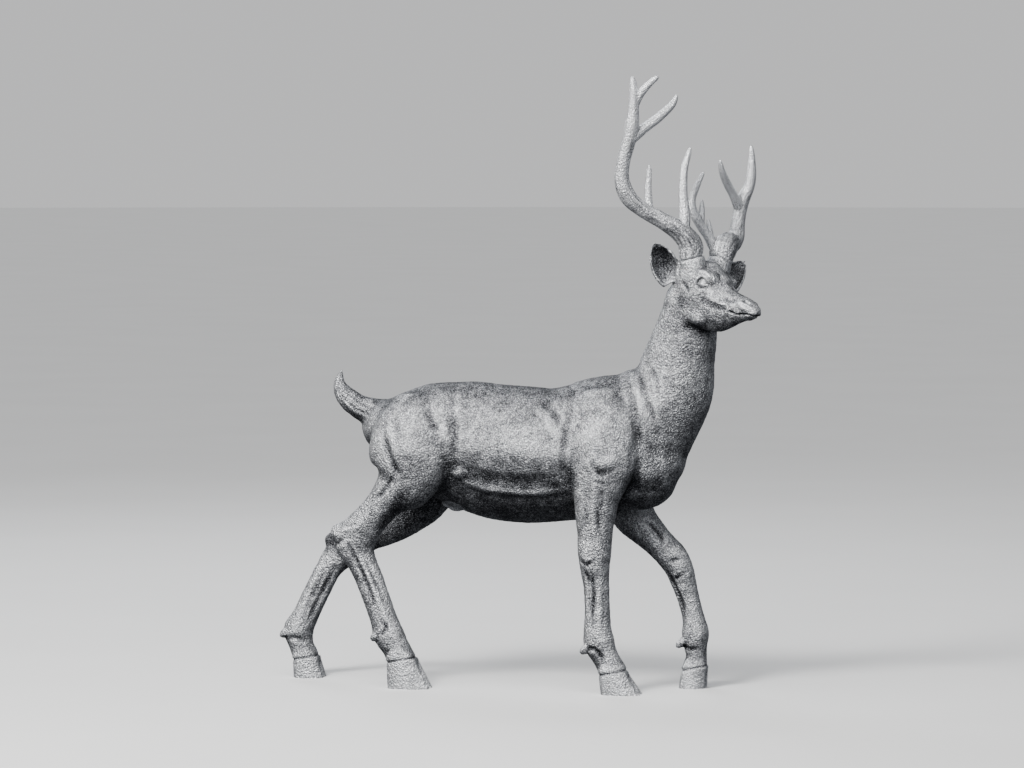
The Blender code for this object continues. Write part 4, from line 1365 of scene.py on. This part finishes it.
FLOAT = "NodeSocketFloat"
COLOUR = "NodeSocketColor"
VECTOR = "NodeSocketVector"


def group(name, inputs, outputs):
    """An empty node group with its sockets: (kind, default) and kind by name."""
    tree = bpy.data.node_groups.new(name, "ShaderNodeTree")
    for label, (kind, default) in inputs.items():
        socket = tree.interface.new_socket(label, in_out="INPUT", socket_type=kind)
        if default is not None:
            socket.default_value = default
    for label, kind in outputs.items():
        tree.interface.new_socket(label, in_out="OUTPUT", socket_type=kind)
    return tree, tree.nodes.new("NodeGroupInput").outputs, tree.nodes.new("NodeGroupOutput").inputs


# From where to where dust, patches and the antlers' streaks turn from dark to bright
GRAIN_RAMP = ((0.44, 0.0), (0.62, 1.0))
PATCH_RAMP = ((0.38, 0.0), (0.62, 1.0))
STREAK_RAMP = ((0.36, 0.0), (0.62, 1.0))

# The height of a pebble, and its share in the height of the skin
PEBBLE_HEIGHT = 0.75
PEBBLE_SHARE = 0.7


def cast_skin_group():
    """The pebbled skin of the casting: its height, its raised grains and its worn patches."""
    tree, given, out = group(
        "cast skin",
        {"Place": (VECTOR, None)},
        {"Height": FLOAT, "Grains": FLOAT, "Patches": FLOAT},
    )
    place = given["Place"]
    pebbles = node(
        tree, "TexVoronoi", feature="SMOOTH_F1", Vector=place, Scale=190, Smoothness=0.3
    ).outputs["Distance"]
    dust = node(tree, "TexNoise", Vector=place, Scale=290, Detail=2, Roughness=0.75).outputs["Fac"]
    patch = node(tree, "TexNoise", Vector=place, Scale=26, Detail=3, Roughness=0.6).outputs["Fac"]
    lump = maths(tree, "SUBTRACT", PEBBLE_HEIGHT, pebbles, clamp=True)
    feed(tree, out["Height"], maths(tree, "MULTIPLY_ADD", lump, PEBBLE_SHARE, dust))
    feed(tree, out["Grains"], ramp(tree, dust, *GRAIN_RAMP))
    feed(tree, out["Patches"], ramp(tree, patch, *PATCH_RAMP))
    return tree


# The roughness of the bare wash, and what full silver takes off it
WASH_ROUGHNESS = 0.62
SILVER_SMOOTHNESS = 0.26


def silvering_group():
    """Silver rubbed over a dark wash: how much silver shows gives colour and roughness."""
    tree, given, out = group(
        "rubbed silver",
        {
            "Rubbed": (FLOAT, 0.5),
            "Dark": (COLOUR, (0.02, 0.021, 0.025, 1)),
            "Middle": (COLOUR, (0.27, 0.275, 0.29, 1)),
            "Bright": (COLOUR, (0.92, 0.93, 0.95, 1)),
        },
        {"Colour": COLOUR, "Roughness": FLOAT},
    )
    rubbed, colour = given["Rubbed"], given["Dark"]
    for lift, tone in ((0.0, "Middle"), (-1.0, "Bright")):
        share = maths(tree, "MULTIPLY_ADD", rubbed, 2.0, lift, clamp=True)
        mix = node(tree, "Mix", data_type="RGBA", Factor=share, A=colour, B=given[tone])
        colour = mix.outputs["Result"]
    feed(tree, out["Colour"], colour)
    rough = maths(tree, "MULTIPLY_ADD", rubbed, -SILVER_SMOOTHNESS, WASH_ROUGHNESS)
    feed(tree, out["Roughness"], rough)
    return tree


def cast_metal(name, skin, metallic):
    """A metal with the cast skin placed in it: the material, its nodes, shader and masks."""
    finish = bpy.data.materials.new(name)
    finish.use_nodes = True
    tree = finish.node_tree
    shader = tree.nodes["Principled BSDF"].inputs
    shader["Metallic"].default_value = metallic
    place = node(tree, "TexCoord").outputs["Object"]
    pebbles = node(tree, "Group", node_tree=skin, Place=place)
    return finish, tree, shader, dict(pebbles.outputs.items())


def rub(tree, shader, silvering, rubbed, wear_and_shade, masks):
    """Silvers a metal by a start value and what each mask or note on the points adds, painted
    shade among them.
    """
    for name, weight in wear_and_shade.items():
        mask = masks[name] if name in masks else note(tree, name)
        rubbed = maths(tree, "MULTIPLY_ADD", mask, weight, rubbed)
    rubbed = maths(tree, "ADD", rubbed, 0.0, clamp=True)
    silver = node(tree, "Group", node_tree=silvering, Rubbed=rubbed).outputs
    feed(tree, shader["Base Color"], silver["Colour"])
    feed(tree, shader["Roughness"], silver["Roughness"])


def bump(tree, shader, height, strength, distance):
    made = node(tree, "Bump", Strength=strength, Distance=distance, Height=height)
    feed(tree, shader["Normal"], made.outputs["Normal"])


# How much silver shows on a plain spot, and what each mask adds to it; the painted shade notes
# take silver off
BODY_RUBBED = 0.33
BODY_WEAR_AND_SHADE = {
    "Grains": 0.52,
    "Patches": 0.22,
    "fine_hollow": -0.14,
    "wide_hollow": -0.09,
    "stroke": 0.2,
    "horn": 0.08,
    "painted_shade": -0.6,
    "painted_top_shade": -0.6,
    "eyeball": 0.15,
}
ANTLER_RUBBED = -0.1
ANTLER_WEAR_AND_SHADE = {
    "Streaks": 0.46,
    "Grains": 0.3,
    "Patches": 0.24,
    "tip": 0.8,
    "foot": 0.26,
    "fine_hollow": -0.3,
    "painted_shade": -0.06,
}
STREAK_STRETCH = (1, 1, 0.12)
STREAK_SHARE = 0.8


def body_finish(skin, silvering):
    finish, tree, shader, masks = cast_metal("silvered_body", skin, metallic=0.85)
    rub(tree, shader, silvering, BODY_RUBBED, BODY_WEAR_AND_SHADE, masks)
    bump(tree, shader, masks["Height"], strength=1.0, distance=0.003)
    return finish


def antler_finish(skin, silvering):
    finish, tree, shader, masks = cast_metal("silvered_antler", skin, metallic=0.6)
    stretch = node(tree, "VectorMath", operation="MULTIPLY")
    feed(tree, stretch.inputs[0], note(tree, "grain", "Vector"))
    feed(tree, stretch.inputs[1], STREAK_STRETCH)
    lines = node(tree, "TexNoise", Vector=stretch.outputs[0], Scale=150, Detail=3, Roughness=0.65)
    lines = lines.outputs["Fac"]
    masks["Streaks"] = ramp(tree, lines, *STREAK_RAMP)
    rub(tree, shader, silvering, ANTLER_RUBBED, ANTLER_WEAR_AND_SHADE, masks)
    height = maths(tree, "MULTIPLY_ADD", lines, STREAK_SHARE, masks["Height"])
    bump(tree, shader, height, strength=0.9, distance=0.0025)
    return finish


# Surroundings

FLOOR_REACH = 60.0
FLOOR_TONE = (0.88, 0.88, 0.875)
FLOOR_SHADE = 0.97


def stand(name, data, place=(0, 0, 0), turn=(0, 0, 0)):
    holder = bpy.data.objects.new(name, data)
    holder.location, holder.rotation_euler = place, turn
    bpy.context.scene.collection.objects.link(holder)
    return holder


def make_floor():
    shape = bmesh.new()
    bmesh.ops.create_circle(shape, cap_ends=True, segments=96, radius=FLOOR_REACH)
    mesh = bpy.data.meshes.new("floor")
    shape.to_mesh(mesh)
    shape.free()
    floor = stand("floor", mesh)
    finish = bpy.data.materials.new("pale_floor")
    finish.use_nodes = True
    tree = finish.node_tree
    shader = tree.nodes["Principled BSDF"].inputs
    place = node(tree, "TexCoord").outputs["Object"]
    cloud = node(tree, "TexNoise", Vector=place, Scale=1.4, Detail=4).outputs["Fac"]
    shade = tuple(FLOOR_SHADE * tone for tone in FLOOR_TONE)
    feed(tree, shader["Base Color"], ramp(tree, cloud, (0.3, shade), (0.7, FLOOR_TONE)))
    shader["Roughness"].default_value = 0.85
    mesh.materials.append(finish)
    floor.visible_diffuse = floor.visible_glossy = False


# Lights: a wide soft light from above that also reaches the far floor, and three lamps:
# where each stands, how wide it is, its power and its tint, all turned to AIM
AIM = Vector((0.05, 0.0, 0.85))
LIGHTS = {
    "key": ((-1.6, -3.4, 4.2), 1.4, 340, (1.0, 0.99, 0.97)),
    "fill": ((4.4, -3.4, 3.0), 1.8, 25, (0.95, 0.97, 1.0)),
    "rim": ((-2.2, 3.4, 4.2), 2.0, 110, (0.93, 0.96, 1.0)),
}
SKY_TIP = (math.radians(38), math.radians(-10), 0)
SKY_SPREAD = math.radians(70)
SKY_POWER = 2.35
BACKDROP_TONE = (0.66, 0.662, 0.668)
AMBIENT_TONE = (0.12, 0.125, 0.135)


def make_lights():
    for name, (spot, width, power, tint) in LIGHTS.items():
        lamp = bpy.data.lights.new(name, "AREA")
        lamp.size, lamp.energy, lamp.color = width, power, tint
        stand(name, lamp, spot, (AIM - Vector(spot)).to_track_quat("-Z", "Y").to_euler())
    sky = bpy.data.lights.new("sky", "SUN")
    sky.angle, sky.energy = SKY_SPREAD, SKY_POWER
    stand("sky", sky, turn=SKY_TIP)


def make_world():
    """The camera sees the backdrop's tone, and everything else is lit by the ambient one."""
    world = bpy.data.worlds.new("studio")
    bpy.context.scene.world = world
    world.use_nodes = True
    tree = world.node_tree
    tree.nodes.clear()
    mix = node(tree, "MixShader")
    feed(tree, mix.inputs[0], node(tree, "LightPath").outputs["Is Camera Ray"])
    for socket, tone in zip(mix.inputs[1:], (AMBIENT_TONE, BACKDROP_TONE)):
        feed(tree, socket, node(tree, "Background", Color=(*tone, 1)).outputs[0])
    feed(tree, node(tree, "OutputWorld").inputs[0], mix.outputs[0])


# The camera stands where the picture was taken from: its place, how far it is turned from
# the statue's side and tipped down, in degrees, and its lens
CAMERA_PLACE = (2.4789, -11.7332, 1.538)
CAMERA_TURN = 12.0
CAMERA_TIP = 3.47
CAMERA_LENS = 158.6
SENSOR_WIDTH = 36.0
CAMERA_RANGE = 500


def make_camera():
    lens = bpy.data.cameras.new("camera")
    lens.lens = CAMERA_LENS
    lens.sensor_width = SENSOR_WIDTH
    lens.clip_end = CAMERA_RANGE
    turn, tip = math.radians(CAMERA_TURN), math.radians(CAMERA_TIP)
    camera = stand("camera", lens, CAMERA_PLACE, (math.pi / 2 - tip, 0, turn))
    bpy.context.scene.camera = camera


def place_piece(piece, replaced, finish):
    """Moves a piece over the origin, finishes it, hangs it under the root and hides the solid it
    stands for.
    """
    piece.data.transform(Matrix.Translation(TO_ORIGIN))
    piece.data.shade_smooth()
    piece.data.materials.clear()
    piece.data.materials.append(finish)
    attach(piece, "root")
    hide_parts(replaced)


def main():
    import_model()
    home = bpy.data.collections.new("deer_statue")
    bpy.context.scene.collection.children.link(home)
    skin, silvering = cast_skin_group(), silvering_group()
    antler_look = antler_finish(skin, silvering)
    place_piece(make_body(home), "deer_body", body_finish(skin, silvering))
    for hand, side in HANDS.items():
        place_piece(make_antler(hand, home), f"antler_{side}", antler_look)
    make_floor()
    make_lights()
    make_world()
    make_camera()


main()
